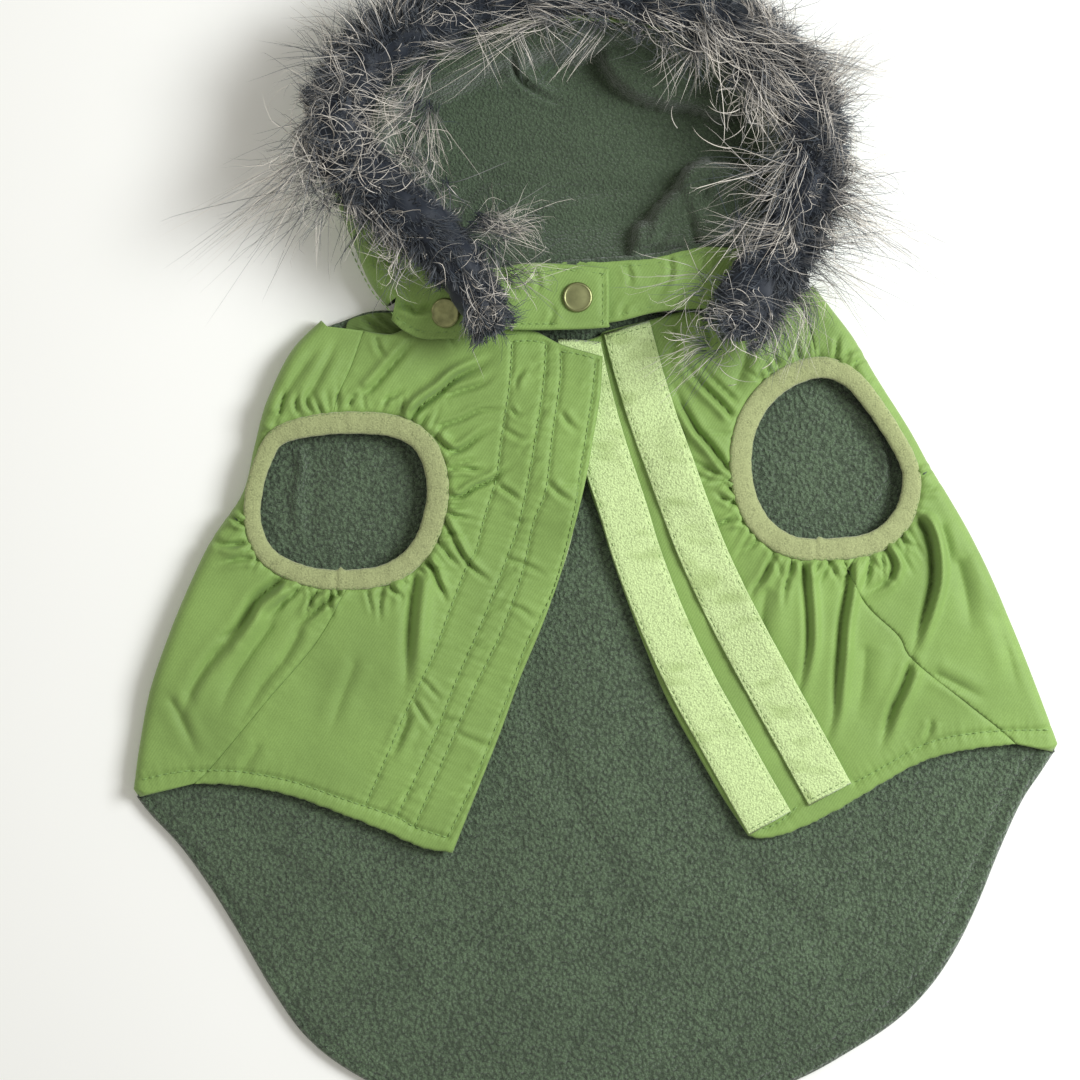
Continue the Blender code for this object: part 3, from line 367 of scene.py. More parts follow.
SNAP_CLEAR = 8.0      # nor nearer to the middle of a snap cap
CORE_SHARE = 0.72    # how much of its width the trim's body takes up
CORE_HEIGHT = 7.4    # how far the body reaches over its middle
CORE_UNDER = 11.8    # how far it reaches below its middle, at most
CORE_CLEAR = 0.5
ROOT_REACH = (6.5, 8.5)    # how far the roots of hairs lie over and below that middle
ROOT_ARC = (-44, 224)      # part of the body that bears hairs, in degrees from its outer side over its top
# Fur all over the trim. Columns: hairs a tuft, their width, segments, share of pale, seed
UNDER_FUR = (12, 0.42, 3, 0.1, 21)
GUARD_FUR = (7, 0.25, 6, 0.62, 22)
# Locks that stand out of the fur. Columns: x, y, way they point in degrees, length, spread of their roots,
# spread of their ways in degrees, curl, hairs, share of pale
LOCKS = (
    (-115, 158, -147, 42, 5, 16, 0.12, 60, 0.75), (-116, 152, -147, 37, 4, 14, 0.1, 40, 0.75),
    (-114, 145, -135, 39, 4, 16, 0.12, 36, 0.7), (-110, 138, -120, 23, 4, 18, 0.12, 36, 0.7),
    (-107, 141, -136, 26, 4, 18, 0.1, 30, 0.7), (-114, 165, -151, 31, 5, 16, 0.12, 50, 0.8),
    (-112, 172, -166, 28, 5, 16, 0.14, 40, 0.7), (-108, 180, -164, 20, 5, 16, 0.12, 40, 0.6),
    (-103, 187, 174, 23, 5, 18, 0.14, 40, 0.5), (-96, 195, 165, 19, 5, 20, 0.14, 36, 0.45),
    (-89, 201, 117, 16, 5, 16, 0.2, 36, 0.6), (-83, 207, 106, 16, 5, 18, 0.2, 30, 0.6),
    (-94, 198, 131, 16, 4, 18, 0.16, 30, 0.5), (-76, 210, 77, 18, 6, 22, 0.2, 40, 0.5),
    (-64, 215, 69, 17, 7, 24, 0.2, 50, 0.5), (-48, 218, 62, 17, 7, 24, 0.2, 50, 0.5),
    (-32, 221, 55, 18, 7, 24, 0.2, 50, 0.5), (-87, 127, -97, 25, 5, 12, 0.1, 34, 0.95),
    (-82, 122, -101, 26, 5, 12, 0.12, 34, 0.95), (-76, 117, -100, 22, 5, 14, 0.1, 26, 0.9),
    (-93, 132, -82, 24, 4, 12, 0.1, 24, 0.9), (-100, 139, -77, 18, 5, 16, 0.1, 26, 0.7),
    (-68, 112, -75, 19, 4, 14, 0.1, 20, 0.7), (-49, 131, -22, 33, 5, 9, 0.18, 90, 1),
    (-52, 127, -27, 27, 5, 12, 0.2, 60, 0.95), (-40, 125, -10, 23, 4, 7, 0.12, 50, 1),
    (-46, 120, -93, 30, 5, 14, 0.1, 50, 0.6), (-38, 112, -43, 24, 4, 14, 0.12, 26, 0.8),
    (-37, 108, -13, 23, 4, 14, 0.1, 22, 0.8), (-43, 100, -106, 18, 5, 12, 0.1, 60, 0.5),
    (-52, 101, -58, 21, 5, 16, 0.1, 30, 0.5), (-49, 92, -73, 11, 4, 14, 0.1, 40, 0.6),
    (-73, 179, -129, 27, 4, 8, 0.12, 46, 0.95), (-68, 177, -105, 22, 4, 10, 0.22, 36, 0.9),
    (-79, 183, -132, 20, 4, 10, 0.14, 40, 0.7), (-67, 194, -153, 26, 4, 8, 0.1, 60, 0.85),
    (-52, 201, -154, 21, 4, 8, 0.08, 50, 0.7), (-15, 213, -162, 39, 4, 6, 0.05, 50, 0.95),
    (-68, 158, -64, 24, 4, 12, 0.2, 16, 0.8), (-72, 170, -85, 20, 4, 12, 0.2, 30, 0.8),
    (-64, 145, -55, 16, 4, 14, 0.2, 14, 0.8), (-81, 158, -47, 14, 6, 20, 0.4, 40, 0.7),
    (-15, 214, -121, 24, 5, 14, 0.1, 26, 0.7), (-21, 213, -132, 16, 5, 16, 0.1, 26, 0.7),
    (-49, 208, -78, 16, 4, 14, 0.1, 16, 0.8), (-32, 211, -113, 16, 5, 14, 0.1, 22, 0.7),
    (1, 213, -126, 19, 6, 14, 0.12, 36, 0.5), (-32, 218, -6, 33, 6, 8, 0.1, 90, 0.6),
    (-3, 217, -6, 33, 6, 12, 0.16, 80, 0.7), (17, 215, -12, 32, 6, 12, 0.16, 70, 0.85),
    (-15, 222, -1, 33, 7, 10, 0.1, 90, 0.6), (17, 207, -144, 22, 5, 16, 0.14, 50, 0.75),
    (27, 205, -124, 18, 5, 16, 0.14, 50, 0.75), (35, 202, -81, 16, 5, 14, 0.14, 50, 0.8),
    (39, 200, -83, 21, 4, 10, 0.1, 36, 0.9), (42, 198, -171, 16, 5, 16, 0.3, 30, 0.8),
    (17, 223, 90, 16, 8, 24, 0.2, 50, 0.6), (34, 222, 63, 18, 8, 22, 0.2, 50, 0.6),
    (1, 225, 106, 15, 8, 24, 0.2, 50, 0.6), (42, 214, -44, 35, 6, 12, 0.16, 70, 0.9),
    (51, 210, -36, 30, 6, 14, 0.18, 70, 0.9), (59, 201, -46, 33, 6, 12, 0.16, 70, 0.9),
    (67, 196, -49, 31, 5, 12, 0.16, 60, 0.9), (42, 207, -30, 24, 5, 14, 0.2, 50, 0.75),
    (50, 218, 60, 16, 7, 20, 0.16, 50, 0.7), (63, 208, 57, 19, 7, 18, 0.16, 60, 0.75),
    (71, 200, 56, 22, 6, 16, 0.14, 60, 0.8), (78, 194, 39, 27, 6, 14, 0.14, 60, 0.8),
    (83, 186, 48, 31, 5, 13, 0.12, 60, 0.85), (88, 179, 34, 32, 5, 10, 0.1, 60, 0.85),
    (91, 174, 31, 31, 5, 10, 0.1, 50, 0.8), (91, 177, 45, 25, 5, 12, 0.1, 40, 0.8),
    (56, 188, -45, 26, 6, 16, 0.5, 60, 0.85), (62, 182, -35, 22, 6, 18, 0.5, 44, 0.8),
    (62, 190, -48, 28, 5, 14, 0.2, 50, 0.8), (90, 158, 19, 32, 6, 13, 0.12, 46, 0.75),
    (91, 152, 17, 34, 6, 11, 0.12, 56, 0.8), (93, 146, 9, 36, 6, 9, 0.12, 56, 0.85),
    (93, 142, -15, 35, 6, 10, 0.14, 56, 0.85), (91, 135, -19, 37, 6, 10, 0.12, 56, 0.85),
    (88, 130, -18, 36, 6, 11, 0.12, 50, 0.85), (85, 121, -15, 35, 6, 11, 0.1, 50, 0.85),
    (82, 113, -9, 32, 6, 11, 0.1, 46, 0.8), (82, 105, -24, 22, 6, 14, 0.1, 40, 0.8),
    (80, 100, -37, 26, 5, 13, 0.12, 36, 0.9), (75, 94, -36, 23, 5, 14, 0.12, 30, 0.9),
    (70, 90, -50, 19, 5, 16, 0.12, 24, 0.7), (82, 154, -123, 28, 6, 18, 0.45, 40, 0.85),
    (78, 146, -120, 26, 6, 18, 0.45, 34, 0.85), (73, 135, -122, 24, 5, 16, 0.4, 28, 0.85),
    (59, 132, -114, 20, 3, 10, 0.1, 30, 0.95), (82, 162, -117, 27, 7, 18, 0.45, 44, 0.85),
    (78, 131, -116, 21, 5, 12, 0.2, 60, 0.8), (66, 123, 12, 27, 5, 12, 0.2, 40, 0.8),
    (58, 112, 24, 22, 5, 14, 0.2, 40, 0.6), (44, 81, 176, 23, 4, 12, 0.12, 22, 0.8),
    (45, 78, -174, 22, 4, 12, 0.14, 20, 0.8), (43, 101, 175, 26, 3, 10, 0.12, 14, 0.9),
    (44, 105, 148, 26, 3, 8, 0.14, 10, 0.9), (50, 76, -139, 16, 4, 14, 0.12, 16, 0.5),
    (54, 97, 27, 18, 8, 30, 0.3, 50, 0.5), (58, 89, -166, 17, 8, 30, 0.3, 50, 0.5),
    (66, 85, -108, 13, 7, 24, 0.2, 40, 0.4))
# Places that hairs curl round. Columns: x, y, radius, sweep in degrees, hairs
WHORLS = (
    (-105, 164, 14, 95, 150), (55.9, 85, 10, 90, 40), (-59.4, 215, 9, 90, 36), (-82, 156, 10, -80, 46),
    (64, 178, 12, -80, 46), (-45, 106, 10, 80, 30))

# Snap caps. Columns of the profile: radius, height
SNAPS = {"snap_cap_1": (-62.5, 93), "snap_cap_2": (-8, 99.5)}
SNAP_SEAT = 0.25
SNAP_PROFILE = (
    (6.05, 0), (6.25, 0.4), (6.15, 0.85), (5.85, 1.15), (5.5, 1.28), (5.25, 1.27), (5.1, 1.17),
    (4.9, 1.14), (3.6, 1.24), (2, 1.34), (0.6, 1.38))

# Lines of topstitching. Columns: x, y
PLACKET_LINES = (
    ((-35, 81), (-36, 64), (-38, 51), (-40, 37), (-41, 28), (-43, 20), (-47, 7), (-50, -5), (-54, -12),
     (-61, -30), (-68, -49), (-80, -74), (-86, -88), (-96, -111)),
    ((-21, 81), (-22, 64), (-26, 37), (-28, 26), (-32, 7), (-39, -13), (-48, -36), (-59, -61), (-68, -84),
     (-83, -116)),
    ((-15, 78), (-15, 66), (-18, 45), (-21, 20), (-26, 7), (-31, -15), (-40, -40), (-50, -61), (-61, -86),
     (-76, -121)),
    ((0, 76), (-2, 57), (-6, 32), (-10, 7), (-18, -22), (-29, -44), (-38, -69), (-50, -99), (-62, -125)),
)
NECK_LINES = (((-35, 81.5), (-28, 82), (-21, 81)), ((-15, 77.5), (-8, 76.5), (-0.5, 74.5)))
LEFT_HEM_LINE = (
    (-190, -101), (-177, -98), (-165, -97), (-148, -97.5), (-127, -101.5), (-105, -109), (-83, -116.5),
    (-76, -120.5), (-62, -125))
RIGHT_HEM_LINE = (
    (108, -102), (118, -96.5), (134, -87.5), (145, -83.5), (157, -81.5), (168, -80.5), (189, -80))
RIGHT_TAIL_LINE = ((84, -112), (76, -119), (69, -121.5))
CHEEK_LINE = (
    (-103, 122), (-98, 111), (-93, 102), (-88, 96.5), (-84, 92.5), (-78, 88), (-70, 85.3), (-52, 85.6))

# How seams and stitching pull the cloth in.
# Columns: line, depth, half width, height of the puckers along it, their spacing, seed
LEFT_QUILTED = (
    (LEFT_SHOULDER_SEAM, 0.3, 0.9, 0.25, 4, 1), (LEFT_SIDE_SEAM, 0.3, 0.9, 0.22, 5, 2),
    *((line, 0.95, 0.95, 0.42, 3.2 + 0.6 * i, i) for i, line in enumerate(PLACKET_LINES)),
    *((line, 0.8, 0.9, 0.2, 3.4, 0) for line in NECK_LINES), (LEFT_HEM_LINE, 1.1, 1.1, 0.4, 3.6, 4))
RIGHT_QUILTED = (
    (RIGHT_SHOULDER_SEAM, 0.35, 0.9, 0.25, 4, 3), (RIGHT_SIDE_SEAM, 0.4, 0.9, 0.25, 5.5, 4),
    (RIGHT_HEM_LINE, 1.1, 1.1, 0.5, 3.2, 5), (RIGHT_TAIL_LINE, 0.9, 1, 0.3, 3.4, 0))
# The rolls on both sides of the tail's groove. Columns: rise, place and half width as shares of its distance
TAIL_ROLLS = ((1.1, 0.5, 0.33), (0.7, 1.75, 0.5))
GROOVE_DEPTH = 1.3
GROOVE_WIDTH = 0.9

# Lights of the stage. Columns: place in metres, size, share of the key light's power, colour
LIGHTS = (("window", (0.8, 0.24, 0.8), 0.5, 1, (0.935, 0.97, 1)),
          ("lamp", (-1.3, 0.5, 1.1), 1, 0.15, (1, 0.93, 0.8)))
SKY_COLOUR = (1, 0.99, 0.95)
GROUND_REACH = 3000.0    # half of the ground's width
PICTURE_MIDDLE = (-0.02352, -0.00084)    # what the camera looks down on, in metres

# One stitch, from end to end. Columns: place along it as a share of its length, size, drop into the cloth
STITCH = ((-0.5, 0.45, 0.22), (-0.25, 1, 0), (0.25, 1, 0), (0.5, 0.45, 0.22))
STITCH_SIDES = 5

# ---------------------------------------------------------------- curves

def curve(table, steps=10, closed=False):
    """Catmull-Rom curve through a table's rows, with every column carried along."""
    rows = np.array(table, float)
    ends = (rows[-1:], rows[:2]) if closed else (rows[:1], rows[-1:])
    padded = np.concatenate((ends[0], rows, ends[1]))
    before, start, end, after = (padded[i:len(padded) - 3 + i, None] for i in range(4))
    t = (np.arange(steps) / steps)[:, None]
    out = 0.5 * (2 * start + (end - before) * t + (2 * before - 5 * start + 4 * end - after) * t ** 2
                 + (3 * start - before - 3 * end + after) * t ** 3)
    return np.vstack((out.reshape(-1, rows.shape[1]), rows[:1] if closed else rows[-1:]))


def lengths_along(line):
    """How far along a line each of its points lies."""
    return np.concatenate(([0.0], np.cumsum(np.linalg.norm(np.diff(line[:, :2], axis=0), axis=1))))


def third_column(line, share):
    """What a line's third column holds at shares of the way along it."""
    along = lengths_along(line)
    return np.interp(share, along / along[-1], line[:, 2])


def spaced(table, pitch, closed=False):
    """The same curve as evenly spaced rows, about pitch apart; a closed one doesn't repeat its first row."""
    fine = curve(table, closed=closed)
    along = lengths_along(fine)
    parts = max(2, round(along[-1] / pitch))
    goals = along[-1] * np.arange(parts if closed else parts + 1) / parts
    return np.column_stack([np.interp(goals, along, column) for column in fine.T])


def left_normals(line, closed=False):
    """Unit normals in the plane, to the left of the way the line runs."""
    flat = line[:, :2]
    if closed:
        along = np.roll(flat, -1, axis=0) - np.roll(flat, 1, axis=0)
    else:
        along = np.gradient(flat, axis=0)
    along = along / np.maximum(np.linalg.norm(along, axis=1, keepdims=True), 1e-9)
    return np.column_stack((-along[:, 1], along[:, 0]))


def offset(line, distance, closed=False):
    """The line moved sideways in the plane, to its left where distance is positive."""
    return line[:, :2] + left_normals(line, closed) * np.reshape(distance, (-1, 1))


def nearest(line, points):
    """Distance of each point to a line, the side it lies on and the share of the way along it."""
    starts = line[:-1, :2]
    spans = np.diff(line[:, :2], axis=0)
    along = lengths_along(line)
    distance = np.full(len(points), np.inf)
    side = np.zeros(len(points))
    share = np.zeros(len(points))
    for i, (start, span) in enumerate(zip(starts, spans)):
        apart = points - start
        t = np.clip(apart @ span / max(span @ span, 1e-12), 0, 1)
        gap = apart - t[:, None] * span
        reach = np.hypot(gap[:, 0], gap[:, 1])
        closer = reach < distance
        distance[closer] = reach[closer]
        side[closer] = np.sign(span[0] * gap[closer, 1] - span[1] * gap[closer, 0])
        share[closer] = (along[i] + t[closer] * (along[i + 1] - along[i])) / along[-1]
    return distance, side, share


def inside(points, outline):
    """Whether each point lies in a closed outline."""
    odd = np.zeros(len(points), bool)
    for (ax, ay), (bx, by) in zip(outline[:, :2], np.roll(outline[:, :2], -1, axis=0)):
        if ay != by:
            crosses = (ay > points[:, 1]) != (by > points[:, 1])
            odd ^= crosses & (points[:, 0] < ax + (bx - ax) * (points[:, 1] - ay) / (by - ay))
    return odd


def cut_of(outline):
    """Width and length of a closed outline in metres, and its area in square metres."""
    x, y = outline[:, 0], outline[:, 1]
    width, length = (outline.max(0) - outline.min(0)) * MM
    return (width, length), abs(x @ np.roll(y, -1) - y @ np.roll(x, -1)) / 2 * MM * MM


def band(middle, width):
    """Outline of a band of this width along its middle line."""
    return np.vstack((offset(middle, width / 2), offset(middle, -width / 2)[::-1]))


def trimmed(line, hole):
    """The part of a line before it runs into a hole, ending on the hole's edge."""
    lost = int(np.argmax(inside(line, hole)))
    low, high = line[lost - 1].copy(), line[lost].copy()
    while np.linalg.norm(high - low) > 0.001:
        middle = (low + high) / 2
        if inside(middle[None], hole)[0]:
            high = middle
        else:
            low = middle
    return np.vstack((line[:lost], low))


def arc(ring, start, end, clear):
    """Points of a ring after start and before end, in the ring's own order, none nearer them than clear."""
    first = int(np.argmin(np.linalg.norm(ring - start, axis=1)))
    last = int(np.argmin(np.linalg.norm(ring - end, axis=1)))
    if last <= first:
        last += len(ring)
    picked = ring[np.arange(first, last + 1) % len(ring)]
    far = (np.linalg.norm(picked - start, axis=1) > clear) & (np.linalg.norm(picked - end, axis=1) > clear)
    return picked[far]


def boxed(wide, high):
    """Points of a circle, with the corners of its lower half filled out towards a box."""
    low = high < 0
    filled = np.sign(wide) * np.abs(wide) ** 0.35
    return np.where(low, filled, wide), np.where(low, -np.abs(high) ** 0.5, high)


# ---------------------------------------------------------------- heights

def smooth(value, low=0.0, high=1.0):
    """0 up to low, 1 from high on, and a soft step between."""
    t = np.clip((value - low) / (high - low), 0, 1)
    return t * t * (3 - 2 * t)


def eased(value, limit, soft):
    """A value that nears its limit softly, from soft before it."""
    over = value - limit + soft
    return np.where(over > 0, limit - soft * np.exp(-over / soft), value)


def uneven(place, seed=0.0):
    """A wave about 1 long, of uneven height and spacing."""
    turn = math.tau * place
    return (0.55 * np.sin(turn + 1.4 * np.sin(0.31 * turn + seed)) + 0.3 * np.sin(0.43 * turn + 2.1 * seed)
            + 0.15 * np.sin(1.73 * turn + 3.7 * seed))


def rumpled(points, size, seed):
    """Soft noise from -1 to 1, whose bumps are about size across."""
    return np.array([noise.noise((x / size, y / size, seed)) for x, y in points[:, :2]])


def blended(table, points):
    """Height of the top cloth, blended from the places of a table."""
    total = np.zeros(len(points))
    weights = np.zeros(len(points))
    for x, y, height in table:
        weight = 1 / (1 + ((points[:, 0] - x) ** 2 + (points[:, 1] - y) ** 2) / TOP_REACH ** 2) ** 2.5
        total += weight * height
        weights += weight
    return total / weights


def creased(points, creases, gain=CREASE_GAIN):
    """What the creases add to the cloth's height: a trough each, with a soft shoulder on both sides."""
    height = np.zeros(len(points))
    for depth, width, lean, course in creases:
        line = curve(course, 6)
        low = line.min(0) - 4 * width
        high = line.max(0) + 4 * width
        near = ((points[:, :2] > low) & (points[:, :2] < high)).all(1)
        if near.any():
            distance, side, share = nearest(line, points[near, :2])
            reach = distance / (CREASE_WIDTH * width)
            fade = smooth(share, -0.04, 0.1) * (1 - smooth(share, 0.45, 1.05))
            trough = np.exp(-(reach / TROUGH_WIDTH) ** 1.2)
            shoulder = np.exp(-((reach - SHOULDER_PLACE) / SHOULDER_WIDTH) ** 2)
            shoulder = SHOULDER_RISE * (1 + 1.4 * lean * side) * shoulder
            height[near] += gain * depth * fade * (shoulder - trough)
    return height


def gathers(ring, count, seed):
    """Short creases that run out from a leg binding, as uneven as gathered cloth."""
    rng = np.random.default_rng(seed)
    line = spaced(ring, 1.0, closed=True)
    normals = left_normals(line, closed=True)
    found = []
    for place in rng.permutation(len(line))[:count]:
        start = line[place, :2] + normals[place] * (line[place, 2] - 0.5)
        lean = normals[place] + 0.45 * rng.normal() * np.array((-normals[place, 1], normals[place, 0]))
        reach = rng.uniform(4, 12) + 13 * rng.random() ** 3
        course = [tuple(start + lean * reach * t) for t in (0.0, 0.5, 1.0)]
        found.append((rng.uniform(0.3, 0.85), rng.uniform(1.0, 1.6), rng.uniform(-0.5, 0.5), course))
    return tuple(found)


def quilted(points, course, depth, width, pucker, pitch=3.4, seed=0.0):
    """What a line of stitching takes from the cloth's height, with the small puckers along it."""
    line = curve(course)
    distance, _, share = nearest(line, points[:, :2])
    along = share * lengths_along(line)[-1]
    ripple = pucker * uneven(along / pitch, seed) * np.exp(-distance / 3.2)
    return ripple - depth * np.exp(-(distance / width) ** 2)


def sunk_at(points, ring, depth=1.3):
    """What the cloth loses where it runs under a leg binding."""
    line = curve(ring, closed=True)
    distance, _, share = nearest(line, points[:, :2])
    return -depth * (1 - smooth(distance - third_column(line, share), -0.8, 1.6))


def ripples(course, count, seed):
    """Shallow creases that slant across the placket between its rows of stitching."""
    rng = np.random.default_rng(seed)
    line = curve(course)
    along = lengths_along(line)
    found = []
    for place in np.sort(rng.uniform(0, along[-1], count)):
        middle = np.array([np.interp(place, along, line[:, k]) for k in (0, 1)]) + rng.normal(0, 3, 2)
        turn = math.radians(rng.normal(28, 12))
        half = rng.uniform(3, 8) * np.array((math.cos(turn), math.sin(turn)))
        bow = rng.normal(0, 0.8) * np.array((-math.sin(turn), math.cos(turn)))
        start, end = (middle - half, middle + half) if rng.random() < 0.5 else (middle + half, middle - half)
        found.append((rng.uniform(0.15, 0.45), rng.uniform(1.3, 2.4), rng.uniform(-0.5, 0.5),
                      [tuple(start), tuple(middle + bow), tuple(end)]))
    return tuple(found)


GATHERS_LEFT = gathers(LEG_LEFT, 60, 3)
GATHERS_RIGHT = gathers(LEG_RIGHT, 56, 5)
RIPPLES = ripples(PLACKET_LINES[1], 30, 11) + ripples(PLACKET_LINES[3], 26, 12)


def front_surface(points, heights, creases, seams, ring, seed, fine):
    """Height of a front and the wrap beside it, with their creases, seams and stitching."""
    height = blended(heights, points) + creased(points, creases)
    for seam in seams:
        height += quilted(points, *seam)
    height += 0.35 * rumpled(points, 17, seed) + fine * rumpled(points, 6, seed + 6)
    return height + sunk_at(points, ring)


def left_surface(points):
    """Height of the left front and the left wrap."""
    creases = LEFT_CREASES + GATHERS_LEFT + RIPPLES
    return front_surface(points, TOP_LEFT, creases, LEFT_QUILTED, LEG_LEFT, 1.0, 0.12)


def right_surface(points):
    """Height of the right front and the right wrap."""
    creases = RIGHT_CREASES + GATHERS_RIGHT
    return front_surface(points, TOP_RIGHT, creases, RIGHT_QUILTED, LEG_RIGHT, 2.0, 0.1)


def even(height):
    """A surface of one height."""
    return lambda points: np.full(len(points), height)


def rested(points, creases, size, seed):
    """Height of cloth that rests on the surface under it, except in its folds."""
    folds = np.clip(-creased(points, creases, 1.0), 0, None)
    return folds + 0.12 * (1 + rumpled(points, size, seed))


def under_surface(points):
    """Height of the back's outer side over the surface it lies on."""
    return rested(points, UNDER_CREASES, 14, 3.0)


def hood_under(points):
    """Height of the hood's outer side over the surface it lies on."""
    return rested(points, HOOD_UNDER_CREASES, 12, 2.0)


def lining_surface(points):
    """Height of the back's fleece, with the rolled and stitched edge of the tail."""
    tail = curve(TAIL)
    distance, _, share = nearest(tail, points[:, :2])
    groove = np.interp(share, *np.transpose(TAIL_GROOVE))
    height = LINING_TOP + np.maximum(creased(points, LINING_CREASES), -0.7) + 0.3 * rumpled(points, 30, 4.0)
    height += 0.12 * rumpled(points, 2.6, 5.0)
    near_tail = distance < groove * 4
    for rise, place, width in TAIL_ROLLS:
        roll = rise * np.exp(-((distance - groove * place) / (groove * width)) ** 2)
        height += np.where(near_tail, roll, 0)
    height -= np.where(near_tail, GROOVE_DEPTH * np.exp(-((distance - groove) / GROOVE_WIDTH) ** 2), 0)
    return height - (height - 2.5) * (1 - np.sqrt(1 - np.clip(1 - distance / 2.4, 0, 1) ** 2))


def hood_top(points):
    """Height of the hood's upper layer: the rim's, less a slope, and never under the sides'."""
    rim = curve(RIM)
    distance, _, share = nearest(rim, points[:, :2])
    return np.maximum(HOOD_SIDE, third_column(rim, share) - HOOD_SLOPE * distance)


def hood_surface(points):
    """The same with its creases and stitching."""
    height = hood_top(points) + creased(points, HOOD_CREASES)
    height += quilted(points, CHEEK_LINE, 0.9, 0.9, 0.35, 3.4, 1.0)
    return height + 0.35 * rumpled(points, 14, 6.0)


def hood_floor(points):
    """Height of the fleece in the hood: its floor, what lies bunched on it, and its rise to the rim."""
    rim = curve(RIM)
    distance, _, share = nearest(rim, points[:, :2])
    level = third_column(rim, share) - SHELL
    floor = 4.4 + 6.5 * (1 - smooth(points[:, 1], 112, 134)) + 0.7 * rumpled(points, 32, 2.0)
    lifted = floor.copy()
    under_strap = BAND_TOP - STRAP - FLOOR_CLEAR + 30 * smooth(points[:, 1], 119, 134)
    for height, roundness, outline in LOBES:
        edge = curve(outline, 6, closed=True)
        depth = nearest(edge, points)[0] * inside(points, edge[:-1])
        crown = np.sqrt(1 - (1 - np.clip(depth / roundness, 0, 1)) ** 2)
        swell = 1 + 0.15 * rumpled(points, 12, height)
        lifted = np.maximum(lifted, np.minimum(floor + height * crown * swell, under_strap))
    lip = np.interp(share, *np.transpose(RIM_LIP)) * (1 + 0.12 * rumpled(points, 18, 9.0))
    reach = distance / lip
    wall = floor + (level - floor) * (1 - 0.42 * reach ** 2) * (1 - smooth(reach, 0.7, 1.25))
    height = np.maximum(lifted, wall)
    height += creased(points, FLOOR_CREASES) + quilted(points, FLOOR_SEAM, 0.5, 0.8, 0.0)
    return np.maximum(height, FLOOR_LOW) + 0.12 * rumpled(points, 2.6, 5.5)


def strap_surface(top):
    """Height of a piece of the chin strap, crowned and puckered."""
    return lambda points: top + creased(points, STRAP_CREASES) + 0.25 * rumpled(points, 7, top)


# ---------------------------------------------------------------- meshes

def mesh_object(name, points, faces, finishes, face_materials=None):
    """A smooth-shaded object from points in millimetres, with its finishes by name."""
    mesh = bpy.data.meshes.new(name)
    mesh.from_pydata((np.asarray(points, float) * MM).tolist(), [], faces)
    for kind in finishes:
        mesh.materials.append(finish(kind))
    if face_materials is not None:
        mesh.polygons.foreach_set("material_index", np.asarray(face_materials, np.int32))
    mesh.shade_smooth()
    return placed(name, mesh)


def placed(name, data):
    """An object for a mesh, a light or a camera, in the scene."""
    made = bpy.data.objects.new(name, data)
    bpy.context.scene.collection.objects.link(made)
    return made


def with_normals_out(made, weld=False, up=None):
    """Turn an object's faces outward, or its flattest one up or down, and join points that coincide."""
    built = bmesh.new()
    built.from_mesh(made.data)
    if weld:
        bmesh.ops.remove_doubles(built, verts=built.verts, dist=0.01 * MM)
    bmesh.ops.recalc_face_normals(built, faces=built.faces)
    flattest = max(built.faces, key=lambda face: face.calc_area() * abs(face.normal.z))
    if up is not None and (flattest.normal.z > 0) != up:
        bmesh.ops.reverse_faces(built, faces=built.faces)
    built.to_mesh(made.data)
    built.free()


def settle(piece, slot, replaces=(), flat=None, area=None, rests_on=()):
    """Make a piece ride with the jacket, and hide the imported parts that it replaces."""
    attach(piece, "root")
    if replaces:
        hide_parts(*replaces)
    return piece


def grid_inside(outline, pitch, clear):
    """Points of a triangular grid that lie in an outline and not near its edge."""
    low, high = outline[:, :2].min(0), outline[:, :2].max(0)
    row_height = pitch * math.sin(math.radians(60))
    rows = np.arange(int((high[1] - low[1]) / row_height) + 1)
    columns = np.arange(int((high[0] - low[0]) / pitch) + 1)
    x = low[0] + (columns[None] + 0.5 * (rows[:, None] % 2)) * pitch
    y = low[1] + rows[:, None] * row_height + 0 * columns[None]
    points = np.column_stack((x.ravel(), y.ravel()))
    points = points[inside(points, outline)]
    loop = np.vstack((outline[:, :2], outline[:1, :2]))
    return points[nearest(loop, points)[0] > clear]


def triangulated(outline, inner):
    """Points and triangles of an outline with inner points. A point that is the outline's has its number."""
    given = [Vector(p) for p in outline[:, :2]] + [Vector(p) for p in inner]
    count = len(outline)
    loop = [(i, (i + 1) % count) for i in range(count)]
    points, _, faces, origins, *_ = delaunay_2d_cdt(given, loop, [], 1, 1e-5)
    numbers = np.array([min((i for i in found if i < count), default=-1) for found in origins])
    points = np.array([tuple(p) for p in points])
    faces = np.array(faces)
    used = np.unique(faces)
    renumber = np.zeros(len(points), int)
    renumber[used] = np.arange(len(used))
    points, numbers, faces = points[used], numbers[used], renumber[faces]
    a, b, c = (points[faces[:, i]] for i in range(3))
    turned = (b[:, 0] - a[:, 0]) * (c[:, 1] - a[:, 1]) < (b[:, 1] - a[:, 1]) * (c[:, 0] - a[:, 0])
    faces[turned] = faces[turned][:, ::-1]
    return points, faces, numbers


